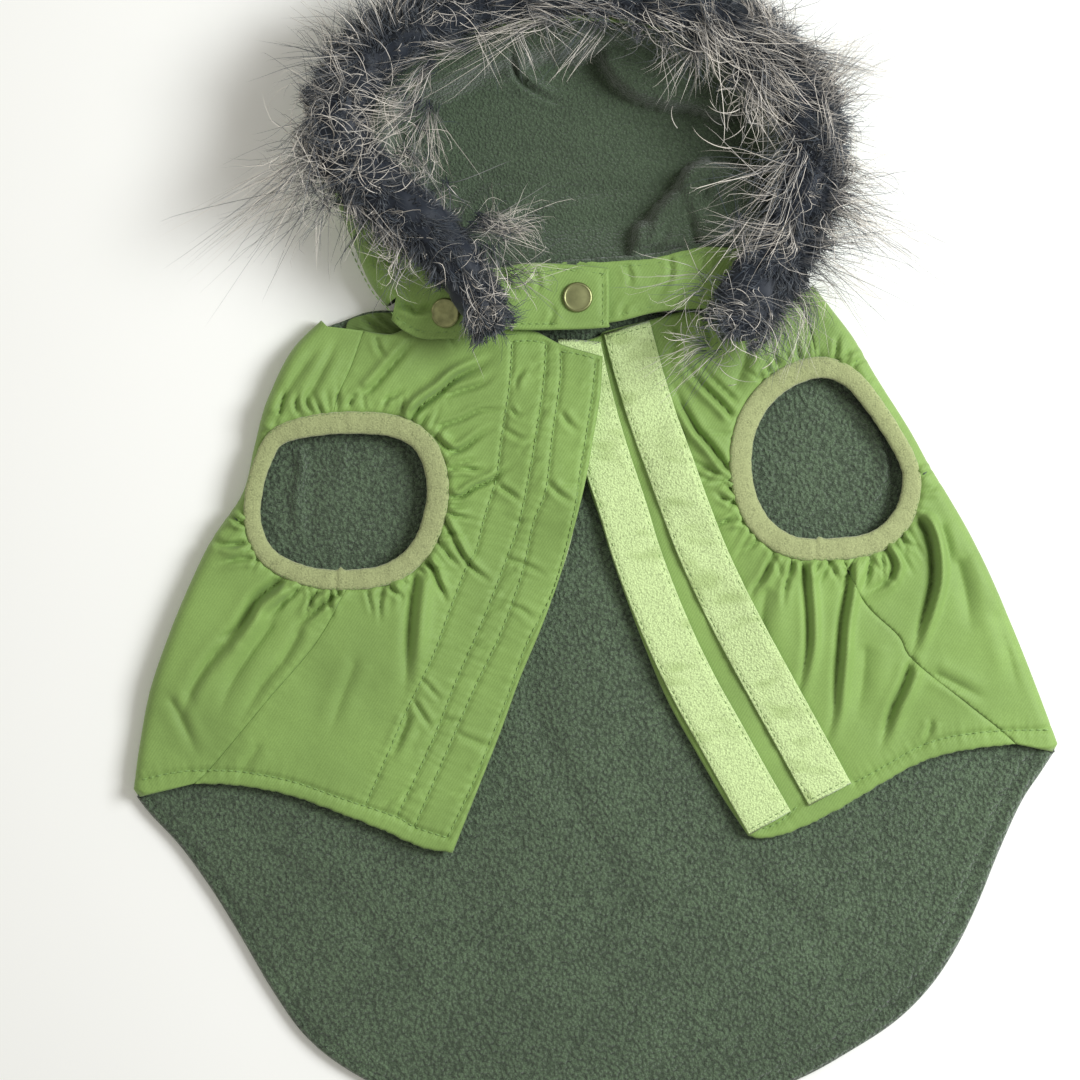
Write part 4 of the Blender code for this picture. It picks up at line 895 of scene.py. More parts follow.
class Sheet:
    """A sheet of cloth, put together from patches and strips that share their edge points."""

    def __init__(self):
        self.points = []
        self.faces = []
        self.count = 0

    def patch(self, outline, pitch, height, up=True, inner=None):
        """Fill an outline. Its points with a z of their own keep it, and the rest lie at height."""
        if inner is None:
            inner = grid_inside(outline, pitch, 0.55 * pitch)
        flat, faces, numbers = triangulated(outline, inner)
        z = height(flat)
        own = numbers >= 0
        given = outline[numbers[own], 2]
        z[own] = np.where(np.isnan(given), z[own], given)
        self.add(np.column_stack((flat, z)), faces if up else faces[:, ::-1])

    def strip(self, rows):
        """Quads between rows of points."""
        count = rows.shape[1]
        base = np.arange(len(rows) - 1)[:, None] * count + np.arange(count - 1)
        quads = np.stack((base, base + count, base + count + 1, base + 1), -1).reshape(-1, 4)
        self.add(rows.reshape(-1, 3), quads)

    def add(self, points, faces):
        """Points with the faces between them, numbered from the first of these points."""
        self.points.append(points)
        self.faces += (faces + self.count).tolist()
        self.count += len(points)

    def made(self, name, thickness, finishes, up):
        """The object, with the sheet as its outer side and its thickness inward."""
        made = mesh_object(name, np.vstack(self.points), self.faces, finishes)
        with_normals_out(made, weld=True, up=up)
        solidify = made.modifiers.new("Thickness", "SOLIDIFY")
        solidify.thickness = thickness * MM
        solidify.offset = -1.0
        solidify.material_offset = len(finishes) - 1
        return made


def with_height(line, z=np.nan):
    """A flat line as points that say their height, or that take the patch's."""
    return np.column_stack((line[:, :2], np.full(len(line), z)))


def panel(name, outline, top, thickness, pitch, finishes, base=None, edge=EDGE_ROLL, facing=6.0, seams=()):
    """A closed padded panel: its top cloth, its under side, and the rounded edge between them.

    The under side shows the second finish further in than facing. Along seams the edge stays up.
    """
    loop = np.vstack((outline, outline[:1]))
    rightward = inside(offset(outline, -edge * EDGE_SHARES[0], closed=True), outline).mean() > 0.5
    inward = -edge if rightward else edge
    inner = []
    for share in EDGE_SHARES:
        row = offset(outline, inward * share, closed=True)
        clear = nearest(loop, row)[0] > 0.8 * edge * share
        inner.append(row[clear & inside(row, outline)])
    inner.append(grid_inside(outline, pitch, edge + 0.5 * pitch))
    flat, faces, _ = triangulated(outline, np.vstack(inner))
    distance = nearest(loop, flat)[0]
    roll = thickness / 2 * (1 - np.sqrt(1 - np.clip(1 - distance / edge, 0, 1) ** 2))
    for seam in seams:
        roll *= 1 - 0.92 * np.exp(-(nearest(seam, flat)[0] / 1.8) ** 2)
    upper = top(flat) - roll
    level = (base or top)(flat)
    lower = np.minimum(level - thickness + roll, upper - 0.5)
    rim = distance < 1e-4
    lower[rim] = upper[rim]
    under = np.arange(len(flat))
    under[~rim] = len(flat) + np.arange((~rim).sum())
    points = np.vstack((np.column_stack((flat, upper)), np.column_stack((flat, lower))[~rim]))
    below = under[faces][:, ::-1]
    slots = np.zeros(2 * len(faces), int)
    if len(finishes) > 1:
        slots[len(faces):] = distance[faces].mean(1) > facing
    return mesh_object(name, points, np.vstack((faces, below)).tolist(), finishes, slots)


def tube(name, rows, finishes, closed=False):
    """A skin over rows of points; an open tube gets flat ends."""
    count, around = rows.shape[:2]
    ring = np.arange(around)
    spans = count if closed else count - 1
    faces = []
    for i in range(spans):
        a, b = i * around, (i + 1) % count * around
        faces += np.stack((a + ring, a + (ring + 1) % around, b + (ring + 1) % around, b + ring), -1).tolist()
    if not closed:
        faces.append(ring[::-1].tolist())
        faces.append(((count - 1) * around + ring).tolist())
    made = mesh_object(name, rows.reshape(-1, 3), faces, finishes)
    with_normals_out(made)
    return made


# ---------------------------------------------------------------- folds and edges

def room(places, across, reach, hole):
    """How far the cloth can run inward from each place and stay clear of a leg hole, up to reach."""
    steps = 60
    free = reach.copy()
    for step in range(steps - 1, -1, -1):
        taken = inside(places + across * (reach * step / steps)[:, None], hole)
        free[taken] = np.maximum(reach[taken] * step / steps - SHELL, 0)
    return free


def fold_rows(table, pitch, top, inward, hole=None, inset=0.0, bottom=None):
    """Sections round a folded edge, from the lower layer to the upper one.

    Where a leg hole reaches the fold, the cloth ends on the hole's edge.
    """
    line = spaced(table, pitch)
    across = left_normals(line) * inward
    place, roll = line[:, :2], line[:, 2]
    centre = place + across * roll[:, None]
    half = top(centre) / 2
    free = roll if hole is None else room(place, across, roll, hole)
    end = np.degrees(np.arccos(1 - free / roll))
    rows = []
    for k in range(ROLL_STEPS + 1):
        turn = np.radians(-90 + (end + 90) * k / ROLL_STEPS)
        flat = centre - across * ((roll - inset) * np.cos(turn))[:, None]
        rows.append(np.column_stack((flat, half + (half - inset) * np.sin(turn))))
    rows = np.stack(rows, 1)
    if bottom is not None:
        rows[:, 0, 2] = bottom(rows[:, 0, :2])
    return rows, free > roll - 1e-6


def closed_corner(rows, corner, inset=0.0):
    """The fold's sections with a few more that draw together to a corner of the tail."""
    last = rows[-1]
    goal = np.column_stack((np.tile(corner, (len(last), 1)), inset + 0.3 * last[:, 2] * (1 - inset / 8)))
    more = [last + (goal - last) * share + (0, 0, 0.1 * share) for share in (0.3, 0.6, 0.85)]
    return np.concatenate((rows, np.stack(more)))


def leg_edge(table, beyond=TUCK):
    """Edge of the cloth round a leg binding, clockwise."""
    ring = spaced(table, 1.6, closed=True)
    return offset(ring, ring[:, 2] + beyond, closed=True)


def seam_edges(seam, hole, pitch):
    """The seam's left and right edges as it runs towards the leg hole, each ended on the hole."""
    line = spaced(seam, pitch)
    return [trimmed(offset(line, 0.005 * way), hole) for way in (1, -1)]


def wraps(sheet, rows, full, hole, shoulder, side, top, clockwise, pitch):
    """The two parts of the back that lie on top, over and under the leg hole."""
    edge = rows[:, -1]
    ring = hole if clockwise else hole[::-1]
    if full.all():
        round_hole = with_height(arc(ring, side[-1], shoulder[-1], ARC_CLEAR))
        sheet.patch(np.vstack((edge, with_height(side), round_hole, with_height(shoulder[::-1]))), pitch, top)
        return
    first = int(np.argmax(~full))
    last = len(full) - int(np.argmax(~full[::-1])) - 1
    upper_line, lower_line = edge[:first + 1], edge[last:]
    ring = ring[nearest(edge, ring)[0] > FOLD_CLEAR]
    over_ring = arc(ring, upper_line[-1, :2], shoulder[-1], ARC_CLEAR)
    under_ring = arc(ring, side[-1], lower_line[0, :2], ARC_CLEAR)
    over = (upper_line, with_height(over_ring), with_height(shoulder[::-1]))
    under = (lower_line, with_height(side), with_height(under_ring))
    sheet.patch(np.vstack(over), pitch, top)
    sheet.patch(np.vstack(under), pitch, top)


# ---------------------------------------------------------------- finishes

class Finish:
    """A Principled material whose colour and bump are put together node by node, in millimetres."""

    def __init__(self, name, roughness, **constants):
        self.material = bpy.data.materials.new(name)
        self.material.use_nodes = True
        self.tree = self.material.node_tree
        self.shader = self.tree.nodes["Principled BSDF"]
        self.shader.inputs["Roughness"].default_value = roughness
        for socket, value in constants.items():
            self.shader.inputs[socket.replace("_", " ")].default_value = value
        coordinates = self.tree.nodes.new("ShaderNodeTexCoord")
        mapping = self.tree.nodes.new("ShaderNodeMapping")
        mapping.inputs["Scale"].default_value = (1 / MM, 1 / MM, 1 / MM)
        self.tree.links.new(coordinates.outputs["Object"], mapping.inputs["Vector"])
        self.place = mapping.outputs["Vector"]
        self.normal = None

    def node(self, kind, inputs, **properties):
        """A node with its properties, and its inputs linked or set."""
        made = self.tree.nodes.new(kind)
        for name, value in properties.items():
            setattr(made, name, value)
        for name, value in inputs.items():
            if isinstance(value, bpy.types.NodeSocket):
                self.tree.links.new(value, made.inputs[name])
            else:
                made.inputs[name].default_value = value
        return made

    def turned(self, degrees, scale=(1, 1, 1)):
        """The place in millimetres, turned in the plane and scaled."""
        inputs = {"Vector": self.place, "Rotation": (0, 0, math.radians(degrees)), "Scale": scale}
        return self.node("ShaderNodeMapping", inputs).outputs[0]

    def noise(self, size, detail=2.0, place=None):
        """Cloudy noise from 0 to 1, whose clouds are about size across."""
        inputs = {"Vector": place or self.place, "Scale": 1 / size, "Detail": detail}
        return self.node("ShaderNodeTexNoise", inputs).outputs["Fac"]

    def cells(self, size, place=None):
        """Distance from the middles of rounded cells about size across."""
        inputs = {"Vector": place or self.place, "Scale": 1 / size}
        return self.node("ShaderNodeTexVoronoi", inputs, feature="SMOOTH_F1").outputs["Distance"]

    def threads(self, pitch, degrees, wobble=0.6):
        """Waves across the cloth, a pitch apart."""
        inputs = {"Vector": self.turned(degrees), "Scale": math.tau / 20 / pitch, "Distortion": wobble,
                  "Detail": 1.0, "Detail Scale": 0.6}
        return self.node("ShaderNodeTexWave", inputs, bands_direction="Y").outputs["Fac"]

    def level_only(self, value):
        """A pattern drawn from above, faded where the cloth stands too steep for it."""
        normal = self.node("ShaderNodeNewGeometry", {}).outputs["Normal"]
        steep = self.node("ShaderNodeSeparateXYZ", {"Vector": normal}).outputs["Z"]
        return self.math("MULTIPLY", value, self.ranged(self.math("ABSOLUTE", steep, 0.0), 0.45, 0.85))

    def ranged(self, value, low, high, new_low=0.0, new_high=1.0):
        """A value whose part from low to high is stretched over a new range."""
        inputs = {"Value": value, "From Min": low, "From Max": high, "To Min": new_low, "To Max": new_high}
        return self.node("ShaderNodeMapRange", inputs).outputs["Result"]

    def math(self, kind, a, b):
        """Two values put together by one step of arithmetic."""
        return self.node("ShaderNodeMath", {0: a, 1: b}, operation=kind).outputs[0]

    def mixed(self, factor, a, b, kind="MIX"):
        """Two colours, or a colour and a socket, mixed by a factor."""
        made = self.node("ShaderNodeMix", {0: factor}, data_type="RGBA", blend_type=kind)
        for index, value in ((6, a), (7, b)):
            if isinstance(value, bpy.types.NodeSocket):
                self.tree.links.new(value, made.inputs[index])
            else:
                made.inputs[index].default_value = (*value[:3], 1.0)
        return made.outputs[2]

    def shades(self, factor, colour, low, high):
        """From one shade of a colour to another, as the factor goes from 0 to 1."""
        return self.mixed(factor, shade(colour, low), shade(colour, high))

    def toned(self, colour, tone):
        """A colour made lighter or darker by a value."""
        grey = self.node("ShaderNodeCombineColor", {0: tone, 1: tone, 2: tone}).outputs[0]
        return self.mixed(1.0, colour, grey, "MULTIPLY")

    def bump(self, height, amplitude):
        """Raise the surface by up to amplitude, on top of the bumps it already has."""
        inputs = {"Height": height, "Distance": amplitude * MM, "Strength": 1.0}
        if self.normal:
            inputs["Normal"] = self.normal
        self.normal = self.node("ShaderNodeBump", inputs).outputs["Normal"]

    def finish(self, colour):
        """The material, with its colour and its bumps linked in."""
        self.tree.links.new(colour, self.shader.inputs["Base Color"])
        if self.normal:
            self.tree.links.new(self.normal, self.shader.inputs["Normal"])
        return self.material


def shade(colour, factor):
    """A colour made darker or lighter."""
    return tuple(min(c * factor, 1.0) for c in colour[:3])


def nylon(name, colour, ribs=1.1, degrees=-58.0):
    """Woven nylon: fine ribs, small crinkles and a soft sheen."""
    cloth = Finish(name, 0.62, Specular_IOR_Level=0.32, Sheen_Weight=0.12, Sheen_Roughness=0.5)
    weft = cloth.level_only(cloth.threads(ribs, degrees))
    cloth.bump(weft, 0.05)
    cloth.bump(cloth.noise(6.5, 3.0), 0.2)
    cloth.bump(cloth.noise(2.2, 2.0, cloth.turned(degrees, (0.35, 1, 1))), 0.07)
    broad = cloth.shades(cloth.ranged(cloth.noise(34, 3.0), 0.3, 0.7), colour, 0.9, 1.09)
    speck = cloth.ranged(cloth.noise(0.7, 2.0), 0.3, 0.7, 0.93, 1.06)
    woven = cloth.math("MULTIPLY", speck, cloth.ranged(weft, 0.0, 1.0, 0.95, 1.03))
    return cloth.finish(cloth.toned(broad, woven))


def fleece(name, colour, size, depth):
    """Knitted fleece: a pebbled nap with painted shade between its tufts and painted light on its fibres."""
    cloth = Finish(name, 0.95, Specular_IOR_Level=0.12, Sheen_Weight=0.35, Sheen_Roughness=0.6)
    drift = {"Vector": cloth.place, "Scale": 0.5, "Detail": 2.0}
    soft = cloth.node("ShaderNodeTexNoise", drift).outputs["Color"]
    wander = cloth.node("ShaderNodeVectorMath", {0: cloth.place, 1: soft}, operation="ADD").outputs[0]
    tufts = cloth.cells(size, wander)
    fibres = cloth.noise(0.4 * size, 3.0)
    cloth.bump(cloth.ranged(tufts, 0.15, 0.65, 1.0, 0.0), 0.75 * depth)
    cloth.bump(fibres, 0.45 * depth)
    # painted shade darkens the gaps between the tufts, and painted light brightens the raised fibres
    pebbled_shade = cloth.shades(cloth.ranged(tufts, 0.22, 0.62), colour, 1 + 0.5 * depth, 1 - 0.8 * depth)
    lit = cloth.shades(cloth.ranged(fibres, 0.38, 0.66), colour, 1 - 0.5 * depth, 1 + 0.85 * depth)
    broad = cloth.ranged(cloth.noise(28, 2.0), 0.3, 0.7, 0.9, 1.08)
    return cloth.finish(cloth.toned(cloth.mixed(0.5, pebbled_shade, lit), broad))


def rib_knit(name, colour):
    """Binding: a close knit with short fibres."""
    cloth = Finish(name, 0.85, Specular_IOR_Level=0.2, Sheen_Weight=0.3, Sheen_Roughness=0.5)
    fine = cloth.noise(0.7, 3.0)
    streaks = cloth.noise(1.6, 2.0, cloth.turned(35, (1, 0.4, 1)))
    cloth.bump(fine, 0.3)
    cloth.bump(streaks, 0.16)
    speckled = cloth.shades(cloth.ranged(fine, 0.34, 0.68), colour, 0.62, 1.26)
    return cloth.finish(cloth.mixed(cloth.ranged(streaks, 0.3, 0.75), speckled, shade(colour, 1.04)))


def loop_pile(name, colour):
    """Loop tape: a pale pile of fine loops, flattened and darker in patches across the tape."""
    cloth = Finish(name, 0.85, Specular_IOR_Level=0.25, Sheen_Weight=0.3, Sheen_Roughness=0.4)
    loops = cloth.cells(0.8)
    fine = cloth.noise(0.5, 2.0)
    worn = cloth.noise(12, 2.0, cloth.turned(-35, (0.55, 1.3, 1)))
    cloth.bump(cloth.ranged(loops, 0.0, 0.7, 1.0, 0.0), 0.3)
    cloth.bump(fine, 0.2)
    pile = cloth.shades(cloth.ranged(loops, 0.15, 0.8), colour, 1.16, 0.62)
    flecked = cloth.mixed(cloth.ranged(fine, 0.4, 0.72), pile, shade(colour, 1.3))
    worn_colour = (colour[0] * 0.72, colour[1] * 0.76, colour[2] * 0.62)
    return cloth.finish(cloth.mixed(cloth.ranged(worn, 0.54, 0.7, 0.0, 0.75), flecked, worn_colour))


def thread(name, colour):
    """Sewing thread: a twisted yarn with a soft gloss."""
    yarn = Finish(name, 0.5, Specular_IOR_Level=0.4, Sheen_Weight=0.2)
    twist = yarn.noise(0.4, 1.0, yarn.turned(40, (1, 0.4, 1)))
    yarn.bump(twist, 0.05)
    return yarn.finish(yarn.shades(yarn.ranged(twist, 0.3, 0.7), colour, 0.75, 1.25))


def antique_brass(name, colour):
    """Brass with a brown bloom and fine scratches."""
    metal = Finish(name, 0.36, Metallic=1.0)
    bloom = metal.noise(2.6, 3.0)
    scratches = metal.noise(0.5, 2.0, metal.turned(20, (0.15, 2.0, 1)))
    metal.bump(scratches, 0.012)
    metal.tree.links.new(metal.ranged(bloom, 0.3, 0.7, 0.4, 0.52), metal.shader.inputs["Roughness"])
    return metal.finish(metal.shades(metal.ranged(bloom, 0.35, 0.7), colour, 1.1, 0.78))


def hair(name, root, middle, tip):
    """Fur whose hairs go from a dark root to a pale tip, as the mesh's fibre colours say."""
    fur = Finish(name, 0.55, Specular_IOR_Level=0.3, Sheen_Weight=0.15)
    fibre = fur.node("ShaderNodeVertexColor", {}, layer_name="fibre").outputs["Color"]
    parts = fur.node("ShaderNodeSeparateColor", {"Color": fibre}).outputs
    upper = fur.mixed(fur.ranged(parts[0], 0.05, 0.6), root, middle)
    paled = fur.mixed(fur.math("MULTIPLY", fur.ranged(parts[0], 0.1, 0.55), parts[1]), upper, tip)
    return fur.finish(fur.toned(paled, fur.ranged(parts[2], 0.0, 1.0, 0.5, 1.25)))


def plain_ground(name, colour):
    """A plain pale surface with the faintest grain."""
    ground = Finish(name, 0.9, Specular_IOR_Level=0.1)
    grain = ground.noise(60, 2.0)
    return ground.finish(ground.shades(ground.ranged(grain, 0.3, 0.7), colour, 0.995, 1.0))


FINISHES = {}


def finish(kind):
    """One of the finishes, made once from the panel's colours."""
    scene = bpy.context.scene
    cloth, fur = scene.jacket_cloth, scene.jacket_fur
    makers = {
        "shell": lambda: nylon("green nylon", cloth.shell_colour),
        "facing": lambda: nylon("shadowed nylon", shade(cloth.shell_colour, 0.62), 1.1, 20),
        "fleece": lambda: fleece("dark green fleece", cloth.fleece_colour, 1.4, 1.05),
        # The hood's fleece: a finer, flatter nap, its colour darkened to 0.78 as painted shade for the deep
        # hood.
        "brushed_painted_shade": lambda: fleece("brushed green fleece", shade(cloth.fleece_colour, 0.78), 1.0, 0.6),
        "binding": lambda: rib_knit("khaki binding", cloth.binding_colour),
        "loop": lambda: loop_pile("pale green loop tape", cloth.loop_colour),
        "thread": lambda: thread("green thread", cloth.thread_colour),
        "tape_thread": lambda: thread("olive thread", shade(cloth.thread_colour, 0.75)),
        "brass": lambda: antique_brass("antique brass", cloth.brass_colour),
        "fur": lambda: hair("grey fur", fur.root_colour, fur.middle_colour, fur.tip_colour),
        "ground": lambda: plain_ground("pale ground", scene.jacket_stage.ground_colour),
    }
    if kind not in FINISHES:
        FINISHES[kind] = makers[kind]()
    return FINISHES[kind]


# ---------------------------------------------------------------- stitches

def stitched(name, slot, courses, surface, yarn="thread", pitch=3.0, length=2.2, radius=0.3, lift=0.3):
    """Rows of separate stitches that lie on the cloth, as one piece."""
    points, faces = [], []
    corners = np.arange(STITCH_SIDES)
    turned = (corners + 1) % STITCH_SIDES
    last = (len(STITCH) - 1) * STITCH_SIDES
    for course in courses:
        line = spaced(course, pitch)
        middle = (line[:-1, :2] + line[1:, :2]) / 2
        along = np.diff(line[:, :2], axis=0)
        along /= np.linalg.norm(along, axis=1, keepdims=True)
        across = np.column_stack((-along[:, 1], along[:, 0]))
        rings = []
        for share, size, drop in STITCH:
            place = middle + along * length * share
            level = surface(place) + lift - drop
            for k in range(STITCH_SIDES):
                turn = math.tau * k / STITCH_SIDES
                side = across * math.cos(turn) * radius * size
                rings.append(np.column_stack((place + side, level + math.sin(turn) * radius * size)))
        for stitch in np.stack(rings, 1):
            base = len(points)
            points += list(stitch)
            for ring in range(base, base + last, STITCH_SIDES):
                faces += np.stack((ring + corners, ring + turned, ring + turned + STITCH_SIDES,
                                   ring + corners + STITCH_SIDES), 1).tolist()
            faces += [(base + corners)[::-1].tolist(), (base + last + corners).tolist()]
    settle(mesh_object(name, points, faces, (yarn,)), slot)


# ---------------------------------------------------------------- the panel's settings

def number(name, description, default, low, high, unit="NONE"):
    """A number that the panel shows."""
    return bpy.props.FloatProperty(
        name=name, description=description, default=default, min=low, max=high, unit=unit)


def tuft_count(name, description, default):
    """How many tufts the fur has."""
    return bpy.props.IntProperty(name=name, description=description, default=default, min=10, max=6000)


def colour_property(name, description, default):
    """A colour that the panel shows."""
    return bpy.props.FloatVectorProperty(
        name=name, description=description, default=default, subtype="COLOR", size=3, min=0.0, max=1.0)


class JacketClothSettings(bpy.types.PropertyGroup):
    """Mesh sizes and colours of the cloth."""

    fine_pitch: number("Fine pitch", "Mesh size on the fronts and the wraps, in millimetres", 1.1, 0.8, 10.0)
    fleece_pitch: number("Fleece pitch", "Mesh size on the fleece, in millimetres", 2.1, 1.0, 10.0)
    under_pitch: number("Under pitch", "Mesh size on the side it lies on, in millimetres", 4.5, 2.0, 20.0)
    shell_colour: colour_property("Shell", "Colour of the nylon", (0.226, 0.352, 0.09))
    fleece_colour: colour_property("Fleece", "Colour of the fleece", (0.074, 0.112, 0.06))
    binding_colour: colour_property("Binding", "Colour of the leg bindings", (0.345, 0.38, 0.175))
    loop_colour: colour_property("Tape", "Colour of the hook and loop tapes", (0.52, 0.645, 0.3))
    thread_colour: colour_property("Thread", "Colour of the topstitching", (0.215, 0.345, 0.095))
    brass_colour: colour_property("Brass", "Colour of the snap caps", (0.29, 0.3, 0.14))


class JacketFurSettings(bpy.types.PropertyGroup):
    """Amount, length and colour of the fur."""

    under_tufts: tuft_count("Under tufts", "Tufts of short dark fur", 2300)
    guard_tufts: tuft_count("Guard tufts", "Tufts of long hair", 440)
    lock_share: number("Lock share", "How full the locks that stand out are", 0.9, 0.1, 4.0)
    under_length: number("Under length", "Length of the short fur, in millimetres", 6.5, 2.0, 60.0)
    guard_length: number("Guard length", "Length of the long hair, in millimetres", 19.0, 2.0, 80.0)
    root_colour: colour_property("Root", "Colour of the hairs at their roots", (0.012, 0.017, 0.027))
    middle_colour: colour_property("Middle", "Colour of the hairs half way", (0.04, 0.054, 0.072))
    tip_colour: colour_property("Tip", "Colour of the pale tips", (0.75, 0.685, 0.595))


class JacketStageSettings(bpy.types.PropertyGroup):
    """Camera, light and ground."""

    camera_height: number("Camera height", "Height of the camera over the ground", 1.3, 0.3, 5.0, "LENGTH")
    frame_width: number("Frame width", "Width of ground that the camera sees", 0.4536, 0.1, 3.0, "LENGTH")
    key_power: number("Key light", "Power of the window light", 15.2, 0.0, 500.0, "POWER")
    sky_strength: number("Sky", "Strength of the light from all round", 0.42, 0.0, 5.0)
    ground_colour: colour_property("Ground", "Colour of the surface", (0.985, 0.975, 0.935))


# ---------------------------------------------------------------- pieces

class JacketOperator(bpy.types.Operator):
    """Build one group of the jacket's pieces"""

    bl_options = {"REGISTER", "UNDO"}
    settings = "jacket_cloth"

    def execute(self, context):
        """Build with the settings that the panel shows."""
        self.build(getattr(context.scene, self.settings))
        return {"FINISHED"}


class JACKET_OT_back(JacketOperator):
    """Build the back of nylon with its two wraps, its fleece and the neck's facing"""

    bl_idname = "jacket.back"
    bl_label = "Back"

    def build(self, cloth):
        pitch = cloth.fine_pitch
        left_hole, right_hole = leg_edge(LEG_LEFT), leg_edge(LEG_RIGHT)
        left, left_full = fold_rows(FOLD_LEFT, pitch, left_surface, 1, left_hole, bottom=under_surface)
        right, right_full = fold_rows(FOLD_RIGHT, pitch, right_surface, -1, right_hole, bottom=under_surface)
        left = closed_corner(left, LEFT_CORNER)
        right = closed_corner(right, RIGHT_CORNER)
        left_full = np.append(left_full, [True] * 3)
        right_full = np.append(right_full, [True] * 3)
        neck = with_height(spaced(BACK_NECK, 3.4))
        tail = with_height(offset(spaced(TAIL, 3.4), 1.0))
        outline = np.vstack((left[:, 0], tail[1:-1], right[::-1, 0], neck[1:-1]))
        back = Sheet()
        back.patch(outline, cloth.under_pitch, under_surface, up=False)
        back.strip(left)
        back.strip(right)
        wraps(back, left, left_full, left_hole, seam_edges(LEFT_SHOULDER_SEAM, left_hole, pitch)[1],
              seam_edges(LEFT_SIDE_SEAM[::-1], left_hole, pitch)[0], left_surface, True, pitch)
        wraps(back, right, right_full, right_hole, seam_edges(RIGHT_SHOULDER_SEAM, right_hole, pitch)[0],
              seam_edges(RIGHT_SIDE_SEAM[::-1], right_hole, pitch)[1], right_surface, False, pitch)
        shell = back.made("back_nylon", SHELL_SHOWN, ("shell", "fleece"), up=False)
        settle(shell, "shell", ["back_shell"], flat=(0.42, 0.36), area=0.123, rests_on=["ground"])
        self.lining(cloth)
        facing = panel("neck_facing_nylon", spaced(NECK_FACING, 1.6, closed=True),
                       lambda p: FACING_TOP + 0.5 * rumpled(p, 7, 1.0) + creased(p, FACING_CREASES),
                       SHELL, 1.7, ("facing",), even(FACING_TOP), edge=0.7)
        settle(facing, "shell", ["neck_facing"], flat=(0.044, 0.0155), rests_on=["back_fleece"])

    def lining(self, cloth):
        """The fleece inside the folds, with rows of points along the tail's rolled edge."""
        pitch = cloth.fleece_pitch
        left, _ = fold_rows(FOLD_LEFT, pitch, left_surface, 1, inset=LINING_TOP, bottom=lining_surface)
        right, _ = fold_rows(FOLD_RIGHT, pitch, right_surface, -1, inset=LINING_TOP, bottom=lining_surface)
        left = closed_corner(left, LEFT_CORNER + (1.5, 0), 1.5)
        right = closed_corner(right, RIGHT_CORNER - (1.5, 0), 1.5)
        tail = spaced(TAIL, pitch * 0.8)
        neck = with_height(spaced(BACK_NECK, pitch))
        outline = np.vstack((left[:, 0], with_height(tail)[1:-1], right[::-1, 0], neck[1:-1]))
        rolled = np.vstack([offset(tail, distance)[2:-2] for distance in (0.5, 1.1, 2.0)])
        grid = grid_inside(outline, pitch, 0.55 * pitch)
        grid = grid[nearest(curve(TAIL), grid)[0] > 2.0 + 0.4 * pitch]
        inner = np.vstack((rolled[inside(rolled, outline)], grid))
        lining = Sheet()
        lining.patch(outline, pitch, lining_surface, inner=inner)
        lining.strip(left)
        lining.strip(right)
        made = lining.made("back_fleece", FLEECE, ("fleece",), up=True)
        settle(made, "fleece", ["back_lining"], flat=(0.4, 0.35), area=0.106, rests_on=["back_nylon"])


class JACKET_OT_fronts(JacketOperator):
    """Build the two padded fronts with their topstitching"""

    bl_idname = "jacket.fronts"
    bl_label = "Fronts"

    def build(self, cloth):
        self.front("front_left", LEFT_NECK, LEFT_FREE, LEFT_HEM, LEFT_SHOULDER_SEAM, LEFT_SIDE_SEAM, LEG_LEFT,
                   TOP_LEFT, left_surface, False, cloth)
        self.front("front_right", RIGHT_NECK, RIGHT_FREE, RIGHT_HEM, RIGHT_SHOULDER_SEAM, RIGHT_SIDE_SEAM,
                   LEG_RIGHT, TOP_RIGHT, right_surface, True, cloth)
        stitched("left_stitches", "shell", PLACKET_LINES + NECK_LINES + (LEFT_HEM_LINE,), left_surface)
        stitched("right_stitches", "shell", (RIGHT_HEM_LINE, RIGHT_TAIL_LINE), right_surface)

    def front(self, name, neck, free, hem, shoulder, side, ring, table, surface, clockwise, cloth):
        """A front that ends on its two seams and on the edge of its leg hole."""
        hole = leg_edge(ring)
        shoulder_edge = seam_edges(shoulder, hole, 1.6)[1 if clockwise else 0]
        side_edge = seam_edges(side[::-1], hole, 1.6)[0 if clockwise else 1]
        hole = hole if clockwise else hole[::-1]
        wave = spaced(hem, 1.5)
        wave = offset(wave, 0.35 * uneven(lengths_along(wave) / 5.2, 1.0))
        outline = np.vstack((
            spaced(neck, 1.6)[1:-1], spaced(free, 1.6), wave[1:-1], side_edge,
            arc(hole, side_edge[-1], shoulder_edge[-1], 1.4), shoulder_edge[::-1]))
        made = panel(name + "_cloth", outline, surface, FRONT, cloth.fine_pitch,
                     ("shell", "fleece"), lambda p: blended(table, p), seams=(shoulder_edge, side_edge))
        settle(made, "shell", [name], *cut_of(outline), rests_on=["back_fleece"])


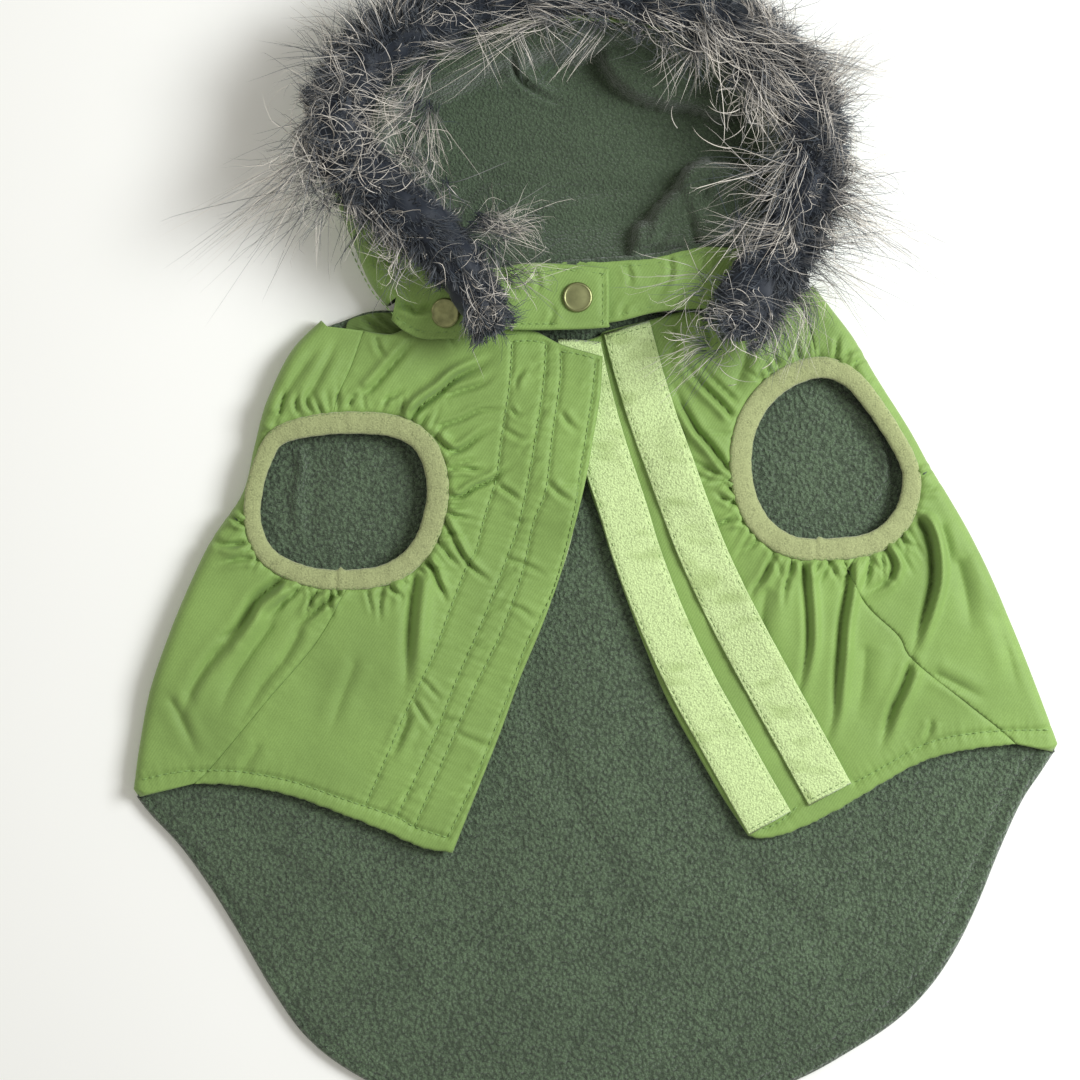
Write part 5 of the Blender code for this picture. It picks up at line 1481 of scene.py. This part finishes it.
class JACKET_OT_bindings(JacketOperator):
    """Build the knitted bindings of the two leg holes"""

    bl_idname = "jacket.bindings"
    bl_label = "Leg bindings"

    def build(self, cloth):
        self.binding("leg_binding_left", LEG_LEFT, TOP_LEFT)
        self.binding("leg_binding_right", LEG_RIGHT, TOP_RIGHT)

    def binding(self, name, table, heights):
        """A padded ring round a leg hole, dented where its ends are sewn together."""
        ring = spaced(table, 1.2, closed=True)
        normals = left_normals(ring, closed=True)
        along = lengths_along(np.vstack((ring, ring[:1])))
        from_join = np.linalg.norm(ring[:, :2] - LEG_JOINS[name], axis=1)
        join = np.exp(-(from_join / 0.9) ** 2)
        dent = np.exp(-((from_join - 1.9) / 0.7) ** 2)
        half = ring[:, 2] + 0.25 + 0.14 * uneven(along[:-1] / 6.1, 2.0)
        level = blended(heights, ring[:, :2]) + 0.5 - BINDING / 2 + 0.25 * uneven(along[:-1] / 9.3, 1.0)
        rows = []
        for k in range(16):
            turn = math.tau * k / 16
            across = math.copysign(abs(math.cos(turn)) ** 0.75, math.cos(turn))
            up = math.copysign(abs(math.sin(turn)) ** 0.7, math.sin(turn))
            reach = half * across - join * (1.3 if across < 0 else 0.0)
            flutter = 0.09 * uneven(along[:-1] / 6.7 + 0.23 * k, k)
            z = level + up * (BINDING / 2 + 0.5 * join - 0.35 * dent) + 0.35 * across + flutter * (up > 0)
            rows.append(np.column_stack((ring[:, :2] + normals * reach[:, None], z)))
        made = tube(name + "_knit", np.stack(rows, 1), ("binding",), closed=True)
        settle(made, "binding", [name], flat=(0.0115, along[-1] * MM), rests_on=["front_left_cloth"])
        edge = offset(ring, ring[:, 2] - 0.5, closed=True)
        edge = np.vstack((edge, edge[:1]))
        level_at = (lambda p: blended(heights, p) + 0.05)
        stitched(name + "_stitches", "binding", (edge[::2],), level_at, "tape_thread", 2.3, 1.5, 0.16, 0.1)


class JACKET_OT_tapes(JacketOperator):
    """Build the four hook and loop tapes with their stitching"""

    bl_idname = "jacket.tapes"
    bl_label = "Tapes"

    def build(self, cloth):
        for name, line in TAPE_LINES.items():
            if name.startswith("loop"):
                self.loop_tape(name, line)
            else:
                middle = spaced(line, 2.0)
                level = (lambda p: blended(TOP_LEFT, p) - FRONT - 0.7)
                made = panel(name + "_weave", band(middle, HOOK_WIDTH), level, TAPE, 2.4, ("loop",), edge=0.6)
                settle(made, "tape", [name], flat=(HOOK_WIDTH * MM, lengths_along(middle)[-1] * MM),
                       rests_on=["back_fleece"])

    def loop_tape(self, name, line):
        """A tape with a raised pile, sewn down along its edges and across its ends."""
        middle = spaced(line, 1.1)
        seed = len(name) + line[0][0]

        def surface(points):
            """Height of the tape's ground, which swells a little along it."""
            _, _, share = nearest(curve(line), points[:, :2])
            along = share * 210
            swell = 0.45 * uneven(along / 27, seed) + 0.2 * uneven(along / 9, seed + 1)
            return blended(TOP_RIGHT, points) + TAPE + 0.75 + swell

        def pile(points):
            """Height of the pile, which the stitching presses down along the edges."""
            edge = LOOP_WIDTH / 2 - nearest(curve(line), points[:, :2])[0]
            raised = smooth(edge, 1.0, 1.9)
            sewn = 0.35 * np.exp(-((edge - 1.5) / 0.5) ** 2)
            return surface(points) - 0.35 + 0.45 * raised - sewn + 0.14 * rumpled(points, 1.3, seed) * raised

        outline = band(middle, LOOP_WIDTH)
        outline = outline + 0.08 * np.column_stack((rumpled(outline, 1.7, 1.0), rumpled(outline, 1.7, 2.0)))
        made = panel(name + "_pile", outline, pile, TAPE, 1.15, ("loop",), surface, edge=0.45)
        settle(made, "tape", [name], flat=(LOOP_WIDTH * MM, lengths_along(middle)[-1] * MM),
               rests_on=["front_right_cloth"])
        inset = LOOP_WIDTH / 2 - 1.5
        left = offset(middle, inset)
        right = offset(middle, -inset)
        courses = (left[1:-2], right[1:-2], np.vstack((left[-3], right[-3])), np.vstack((left[2], right[2])))
        stitched(name + "_stitches", "tape", courses, pile, "tape_thread", 2.9, 2.0, 0.2, 0.05)


class JACKET_OT_hood(JacketOperator):
    """Build the hood of nylon, its fleece and the chin strap"""

    bl_idname = "jacket.hood"
    bl_label = "Hood"

    def build(self, cloth):
        pitch = cloth.fine_pitch * 1.5
        rows, _ = fold_rows(HOOD_FOLD, pitch, hood_surface, 1, bottom=hood_under)
        neck, left, rim, right = (
            with_height(spaced(table, pitch)) for table in (HOOD_NECK, LEFT_CHEEK, RIM, RIGHT_CHEEK))
        shell = Sheet()
        shell.strip(rows)
        shell.patch(np.vstack((rows[:, 0], neck[1:-1])), cloth.under_pitch, hood_under, up=False)
        shell.patch(np.vstack((rows[:, -1], left[:-1], rim, right[1:])), pitch, hood_surface)
        made = shell.made("hood_nylon", SHELL_SHOWN, ("shell", "fleece"), up=False)
        settle(made, "shell", ["hood_shell"], flat=(0.26, 0.19), area=0.0375, rests_on=["ground"])
        self.lining(cloth)
        self.strap("hood_band", BAND, BAND_TOP)
        self.strap("hood_tab", TAB, TAB_TOP)
        self.strap_lip()
        stitched("cheek_stitches", "shell", (CHEEK_LINE,), hood_surface)

    def lining(self, cloth):
        """The fleece that covers the hood's floor and rises to its rim."""
        rim = spaced(RIM, cloth.fleece_pitch)
        throat = spaced(THROAT, cloth.fleece_pitch)
        outline = with_height(np.vstack((rim[:, :2], throat[1:-1])))
        lining = Sheet()
        lining.patch(outline, cloth.fleece_pitch * 0.85, hood_floor)
        made = lining.made("hood_fleece", HOOD_FLEECE, ("brushed_painted_shade",), up=True)
        settle(made, "fleece", ["hood_lining"], flat=(0.21, 0.15), area=0.025, rests_on=["hood_nylon"])

    def strap_lip(self):
        """The edge of the band's fleece, which shows along its top."""
        line = spaced(STRAP_LIP, 1.2)
        normals = left_normals(line)
        along = lengths_along(line)
        ends = smooth(np.minimum(along, along[-1] - along), -1.0, 4.0)
        radius = LIP_RADIUS * ends * (1 + 0.2 * uneven(along / 7, 2.0))
        rows = []
        for turn in np.arange(8) * math.tau / 8:
            side = normals * (0.4 + radius * math.cos(turn))[:, None]
            z = BAND_TOP - STRAP / 2 + radius * math.sin(turn)
            rows.append(np.column_stack((line[:, :2] + side, z)))
        settle(tube("hood_band_fleece", np.stack(rows, 1), ("brushed_painted_shade",)), "fleece")

    def strap(self, name, table, top):
        """One part of the chin strap, with the stitching round it."""
        outline = spaced(table, 1.3, closed=True)
        surface = strap_surface(top)
        inner = offset(outline, -2.6, closed=True)
        line = np.vstack((inner, inner[:1]))

        def sewn(points):
            """Height of the strap, pulled in along its stitching."""
            distance = nearest(line, points[:, :2])[0]
            return surface(points) - 0.8 * np.exp(-(distance / 0.9) ** 2)

        made = panel(name + "_cloth", outline, sewn, STRAP, 1.5, ("shell", "fleece"), even(top),
                     facing=2.0)
        settle(made, "shell", [name], *cut_of(outline), rests_on=["hood_nylon"])
        stitched(name + "_stitches", "shell", (line[::2],), sewn, "thread", 2.9, 2.0, 0.22)


class JACKET_OT_snaps(JacketOperator):
    """Build the two brass snap caps, seated on the cloth"""

    bl_idname = "jacket.snaps"
    bl_label = "Snaps"

    def build(self, cloth):
        turn = np.arange(56) * math.tau / 56
        reach = 4.0
        for name, place in SNAPS.items():
            level = hood_top if name == "snap_cap_1" else even(TAB_TOP)
            probes = np.array(place) + np.array(((-reach, 0), (reach, 0), (0, -reach), (0, reach), (0, 0)))
            heights = level(probes)
            slope = Vector((heights[0] - heights[1], heights[2] - heights[3], 2 * reach))
            rows = np.stack([
                np.column_stack((radius * np.cos(turn), radius * np.sin(turn), np.full(len(turn), z)))
                for radius, z in SNAP_PROFILE])
            cap = tube(name + "_brass", rows, ("brass",))
            cap.data.set_sharp_from_angle(angle=math.radians(40))
            matrix = slope.to_track_quat("Z", "Y").to_matrix().to_4x4()
            matrix.translation = Vector((place[0], place[1], heights[4] + SNAP_SEAT)) * MM
            cap.data.transform(matrix)
            settle(cap, "snaps", [name])


class JACKET_OT_fur(JacketOperator):
    """Build the fur trim: its backing, short dark fur, long hair over it, locks and whorls"""

    bl_idname = "jacket.fur"
    bl_label = "Fur trim"
    settings = "jacket_fur"

    def build(self, fur):
        """The trim's middle line, and all that grows along it."""
        self.line = spaced(FUR, 1.5)
        self.along = lengths_along(self.line)
        self.normals = left_normals(self.line)
        rim = curve(RIM)
        self.level = third_column(rim, nearest(rim, self.line[:, :2])[2]) + FUR_LIFT
        self.backing()
        self.tufts("fur_under", fur.under_tufts, fur.under_length, *UNDER_FUR)
        self.tufts("fur_guard", fur.guard_tufts, fur.guard_length, *GUARD_FUR)
        self.locks("fur_locks", fur.lock_share)
        self.whorls("fur_whorls")

    def backing(self):
        """The lumpy body of the trim, which the hairs hide."""
        from_end = np.arange(len(self.line))
        size = np.minimum(1, 0.45 + 0.12 * np.minimum(from_end, from_end[::-1]))
        rows = []
        for k, turn in enumerate(np.arange(20) * math.tau / 20):
            lumpy = size * (1 + 0.16 * uneven(self.along / 17 + 0.37 * k, k % 5))
            wide, high = boxed(np.cos([turn]), np.sin([turn]))
            place = self.line[:, :2] + self.normals * (wide * self.line[:, 2] * CORE_SHARE * lumpy)[:, None]
            seat = np.maximum(hood_top(place) + CORE_CLEAR, self.level - CORE_UNDER)
            up = np.where(high > 0, CORE_HEIGHT * lumpy, self.level - seat)
            rows.append(np.column_stack((place, self.level + high * up)))
        made = tube("fur_backing", np.stack(rows, 1), ("fur",))
        self.fibres(made, np.zeros(len(made.data.vertices)), 0.3, 0.5)
        settle(made, "fur", ["fur_trim"])

    def fibres(self, piece, share, tone, strand):
        """Say for each point how far along its hair it is, how pale the hair is, and its own shade."""
        layer = piece.data.color_attributes.new("fibre", "FLOAT_COLOR", "POINT")
        values = np.ones((len(piece.data.vertices), 4), np.float32)
        for k, value in enumerate((share, tone, strand)):
            values[:, k] = value
        layer.data.foreach_set("color", values.ravel())

    def top_of_core(self, points):
        """Height of the trim's body at places near its middle."""
        distance, _, share = nearest(self.line, points)
        half = third_column(self.line, share) * CORE_SHARE
        level = np.interp(share, self.along / self.along[-1], self.level)
        return level + CORE_HEIGHT * np.sqrt(np.clip(1 - (distance / half) ** 2, 0.02, 1))

    def tufts(self, name, tufts, length, per_tuft, width, segments, paleness, seed):
        """Tufts of hairs all over the trim, lying as its table says."""
        rng = np.random.default_rng(seed)
        place = rng.uniform(0, self.along[-1], tufts)
        x, y, half, lean, out, share, pale, level = (
            np.interp(place, self.along, column)
            for column in (*self.line.T, self.level))
        normal = np.column_stack([np.interp(place, self.along, column) for column in self.normals.T])
        normal /= np.linalg.norm(normal, axis=1, keepdims=True)
        along = np.column_stack((normal[:, 1], -normal[:, 0]))
        turn = rng.uniform(*np.radians(ROOT_ARC), tufts)
        outward, upward = np.cos(turn), np.sin(turn)
        wide, high = boxed(outward, upward)
        rise = np.where(high > 0, *ROOT_REACH) * high
        count = tufts * per_tuft
        tuft = np.repeat(np.arange(tufts), per_tuft)
        spread = rng.normal(0, 1.3, (count, 2))
        size = half * CORE_SHARE * 0.92
        root = np.column_stack((
            x[tuft] + normal[tuft, 0] * (wide * size)[tuft] + along[tuft, 0] * spread[:, 0],
            y[tuft] + normal[tuft, 1] * (wide * size)[tuft] + along[tuft, 1] * spread[:, 0],
            (level + rise)[tuft] + 0.3 * spread[:, 1]))
        root[:, :2] += normal[tuft] * spread[:, 1:2] * 0.6
        wander = rng.normal(0, 0.24, (tufts, 3))
        start = np.column_stack((normal * outward[:, None], 0.45 * np.maximum(upward, 0.1))) + 0.5 * wander
        start[:, :2] += 0.6 * along * lean[:, None]
        end_flat = along * lean[:, None] + normal * (out + 0.6 * outward)[:, None]
        end = np.column_stack((end_flat, 0.12 * upward - 0.18)) + wander
        inner = 1 - 0.5 * smooth(-outward, 0.0, 0.7)
        reach = (length * share * inner * rng.uniform(0.65, 1.2, tufts))[tuft]
        reach *= rng.uniform(0.7, 1.15, count)
        bright = (rng.random(tufts) < pale * paleness)[tuft] & (rng.random(count) < 0.75)
        tone = np.where(bright, rng.uniform(0.6, 1.0, count), rng.uniform(0.0, 0.12, count))
        strand = np.clip(rng.normal(0.5, 0.25, tufts)[tuft] + rng.normal(0, 0.15, count), 0, 1)
        start = start[tuft] + rng.normal(0, 0.16, (count, 3))
        end = end[tuft] + rng.normal(0, 0.13, (count, 3))
        bend = rng.normal(0, 1, (tufts, 3))[tuft] * 0.85 + rng.normal(0, 0.4, (count, 3))
        phase = rng.uniform(0, math.tau, (tufts, 1))[tuft] + rng.normal(0, 0.35, (count, 1))
        self.grow(name, root, start, end, reach, 0.31 * bend, phase, width, segments, tone, strand, rng)

    def locks(self, name, share, seed=31):
        """The locks that stand out, each drawn together towards its tip."""
        rng = np.random.default_rng(seed)
        drawn = []
        for x, y, angle, length, spread, fan, curl, hairs, pale in LOCKS:
            count = max(3, round(hairs * share))
            turn = math.radians(angle)
            ahead = np.array((math.cos(turn), math.sin(turn)))
            aside = np.array((-ahead[1], ahead[0]))
            tip = np.array([(x, y)]) + 0.85 * length * ahead
            loose = nearest(self.line, tip)[0][0] > 17
            across = rng.normal(0, spread * 0.5, count)
            back = rng.uniform(-0.5, 0.45, count) * spread
            place = np.array((x, y)) + across[:, None] * aside + back[:, None] * ahead
            draw = -across / (length * 1.3)
            fanned = rng.normal(0, math.radians(fan), count)
            first = turn + 0.3 * draw + 1.3 * fanned + rng.normal(0, 0.12)
            last = turn + 1.2 * draw + 1.6 * fanned + rng.normal(0, 0.2)
            root = np.column_stack((place, self.top_of_core(place) + rng.uniform(-0.5, 1.5, count)))
            start = np.column_stack((np.cos(first), np.sin(first), rng.uniform(0.1, 0.55, count)))
            end = np.column_stack((np.cos(last), np.sin(last), rng.uniform(-0.45, 0.0, count)))
            reach = length * (1.0 if loose else 1.2) * rng.uniform(0.55, 1.1, count)
            bright = rng.random(count) < 0.75 * pale ** 1.5
            tone = np.where(bright, rng.uniform(0.7, 1.05, count), rng.uniform(0.0, 0.3, count))
            strand = rng.normal(0.6, 0.28, count)
            bend = 0.3 * rng.normal(0, 1, (1, 3)) + 0.16 * rng.normal(0, 1, (count, 3))
            phase = rng.uniform(0, math.tau) + rng.normal(0, 0.4, (count, 1))
            width = np.full((count, 1, 1), 0.23 if loose else 0.3)
            drawn.append((root, start, end, reach, (1.0 + 1.8 * curl) * bend, phase, width, tone, strand))
        root, start, end, reach, bend, phase, width, tone, strand = map(np.concatenate, zip(*drawn))
        self.grow(name, root, start, end, reach, bend, phase, width, 7, np.clip(tone, 0, 1),
                  np.clip(strand, 0, 1), rng)

    def whorls(self, name, seed=41):
        """Hairs that curl round a few places."""
        rng = np.random.default_rng(seed)
        paths = []
        t = np.linspace(0, 1, 9)[None]
        for x, y, radius, sweep, hairs in WHORLS:
            place = np.array((x, y)) + rng.normal(0, radius * 0.6, (hairs, 2))
            size = radius * rng.uniform(0.4, 1.3, hairs)[:, None] * (1 + rng.normal(0, 0.4, (hairs, 1)) * t)
            turn = rng.uniform(0, math.tau, (hairs, 1))
            turn = turn + math.radians(sweep) * rng.uniform(0.3, 1.1, (hairs, 1)) * t
            squash = rng.uniform(0.6, 1.2, (hairs, 1))
            px = place[:, :1] + size * np.cos(turn)
            py = place[:, 1:] + size * np.sin(turn) * squash
            z = self.top_of_core(np.column_stack((px.ravel(), py.ravel()))).reshape(px.shape)
            z = z + 1.2 + rng.uniform(0.5, 3, (hairs, 1)) * np.sin(math.pi * t)
            paths.append(np.stack((px, py, z), -1))
        path = np.concatenate(paths)
        count = len(path)
        self.ribbons(name, path, 0.3, rng, rng.uniform(0.4, 1, count), rng.uniform(0.3, 1, count), 0.45)

    def grow(self, name, root, start, end, reach, bend, phase, width, segments, tone, strand, rng):
        """Hairs that leave their roots one way and end another, and wave by bend on the way."""
        count = len(root)
        start = start / np.linalg.norm(start, axis=1, keepdims=True)
        end = end / np.linalg.norm(end, axis=1, keepdims=True)
        reach = reach[:, None]
        bend = np.clip(bend, -0.45, 0.45) * reach * (1, 1, 0.4)
        steps = np.linspace(0, 1, segments + 1)
        path = [root + reach * (start * t + (end - start) * t * t / 2)
                + bend * (np.sin(3.6 * t + phase) - np.sin(phase)) * t for t in steps]
        path = np.stack(path, 1)
        path[..., 2] = np.maximum(eased(path[..., 2], FUR_CEILING, 8.0), 2.0 + 3 * steps[None, ::-1])
        path[..., 1] = eased(path[..., 1], FUR_TOP, 10.0)
        clear = np.ones(count, bool)
        for x, y in SNAPS.values():
            clear &= np.hypot(path[..., 0] - x, path[..., 1] - y).min(1) > SNAP_CLEAR
        width = np.broadcast_to(width, (count, 1, 1))[clear]
        self.ribbons(name, path[clear], width, rng, tone[clear], strand[clear])

    def ribbons(self, name, path, width, rng, tone, strand, root_share=0.0):
        """Ribbons along the paths, each ending in a point."""
        count, rings = path.shape[:2]
        forward = np.gradient(path, axis=1)
        facing = np.array((0.0, 0.0, 1.0)) + rng.normal(0, 0.55, (count, 1, 3))
        side = np.cross(forward, facing)
        side /= np.maximum(np.linalg.norm(side, axis=2, keepdims=True), 1e-9)
        taper = np.interp(np.linspace(0, 1, rings), (0, 0.5, 1), (1.0, 0.8, 0.25))[None, :, None]
        half = side * taper * width / 2 * rng.uniform(0.7, 1.2, (count, 1, 1))
        body = rings - 1
        stride = 2 * body + 1
        points = np.empty((count, stride, 3))
        points[:, 0:2 * body:2] = path[:, :-1] - half[:, :-1]
        points[:, 1:2 * body:2] = path[:, :-1] + half[:, :-1]
        points[:, -1] = path[:, -1]
        base = (np.arange(count) * stride)[:, None]
        quads = [base + np.array((2 * j, 2 * j + 1, 2 * j + 3, 2 * j + 2)) for j in range(body - 1)]
        tips = base + np.array((2 * body - 2, 2 * body - 1, 2 * body))
        faces = np.concatenate(quads).tolist() + tips.tolist()
        made = mesh_object(name, points.reshape(-1, 3), faces, ("fur",))
        share = np.empty((count, stride))
        share[:, 0:2 * body:2] = share[:, 1:2 * body:2] = np.linspace(root_share, 1, rings)[None, :-1]
        share[:, -1] = 1
        self.fibres(made, share.ravel(), np.repeat(tone, stride), np.repeat(strand, stride))
        settle(made, "fur")


class JACKET_OT_stage(JacketOperator):
    """Build the ground, the light and the camera"""

    bl_idname = "jacket.stage"
    bl_label = "Stage"
    settings = "jacket_stage"

    def build(self, stage):
        """A wide plain ground, a soft world, the lights and the camera straight above."""
        scene = bpy.context.scene
        wide = GROUND_REACH * np.array(((-1, -1), (1, -1), (1, 1), (-1, 1)))
        corners = np.column_stack((wide, np.full(4, -0.2)))
        mesh_object("ground", corners, [(0, 1, 2, 3)], ("ground",))
        scene.world = bpy.data.worlds.new("soft room")
        scene.world.use_nodes = True
        background = scene.world.node_tree.nodes["Background"]
        background.inputs["Color"].default_value = (*SKY_COLOUR, 1)
        background.inputs["Strength"].default_value = stage.sky_strength
        scene.view_settings.view_transform = "Standard"
        for name, place, size, share, colour in LIGHTS:
            light = bpy.data.lights.new(name, "AREA")
            light.size = size
            light.energy = stage.key_power * share
            light.color = colour
            made = placed(name, light)
            made.location = place
            made.rotation_euler = (-Vector(place)).to_track_quat("-Z", "Y").to_euler()
        camera = bpy.data.cameras.new("camera")
        camera.sensor_width = 36.0
        camera.lens = camera.sensor_width * stage.camera_height / stage.frame_width
        scene.camera = placed("camera", camera)
        scene.camera.location = (*PICTURE_MIDDLE, stage.camera_height)


class JACKET_PT_panel(bpy.types.Panel):
    """Lists the jacket's pieces and settings"""

    bl_idname = "JACKET_PT_panel"
    bl_label = "Dog Jacket"
    bl_space_type = "VIEW_3D"
    bl_region_type = "UI"
    bl_category = "Dog Jacket"

    def draw(self, context):
        """Every setting, and a button for every group of pieces."""
        for group in (context.scene.jacket_cloth, context.scene.jacket_fur, context.scene.jacket_stage):
            column = self.layout.column(align=True)
            for name in group.__annotations__:
                column.prop(group, name)
        for operator in PIECES:
            self.layout.operator(operator.bl_idname)


SETTINGS = {
    "jacket_cloth": JacketClothSettings,
    "jacket_fur": JacketFurSettings,
    "jacket_stage": JacketStageSettings,
}
PIECES = (
    JACKET_OT_stage, JACKET_OT_back, JACKET_OT_fronts, JACKET_OT_bindings, JACKET_OT_tapes, JACKET_OT_hood,
    JACKET_OT_snaps, JACKET_OT_fur)


def register():
    """Add the settings, the operators and the panel."""
    for name, group in SETTINGS.items():
        bpy.utils.register_class(group)
        setattr(bpy.types.Scene, name, bpy.props.PointerProperty(type=group))
    for operator in PIECES:
        bpy.utils.register_class(operator)
    bpy.utils.register_class(JACKET_PT_panel)


def unregister():
    """Take them away again."""
    bpy.utils.unregister_class(JACKET_PT_panel)
    for operator in reversed(PIECES):
        bpy.utils.unregister_class(operator)
    for name, group in SETTINGS.items():
        delattr(bpy.types.Scene, name)
        bpy.utils.unregister_class(group)


def main():
    """Build every group of pieces."""
    register()
    for operator in PIECES:
        group, action = operator.bl_idname.split(".")
        getattr(getattr(bpy.ops, group), action)()


if __name__ == "__main__":
    main()
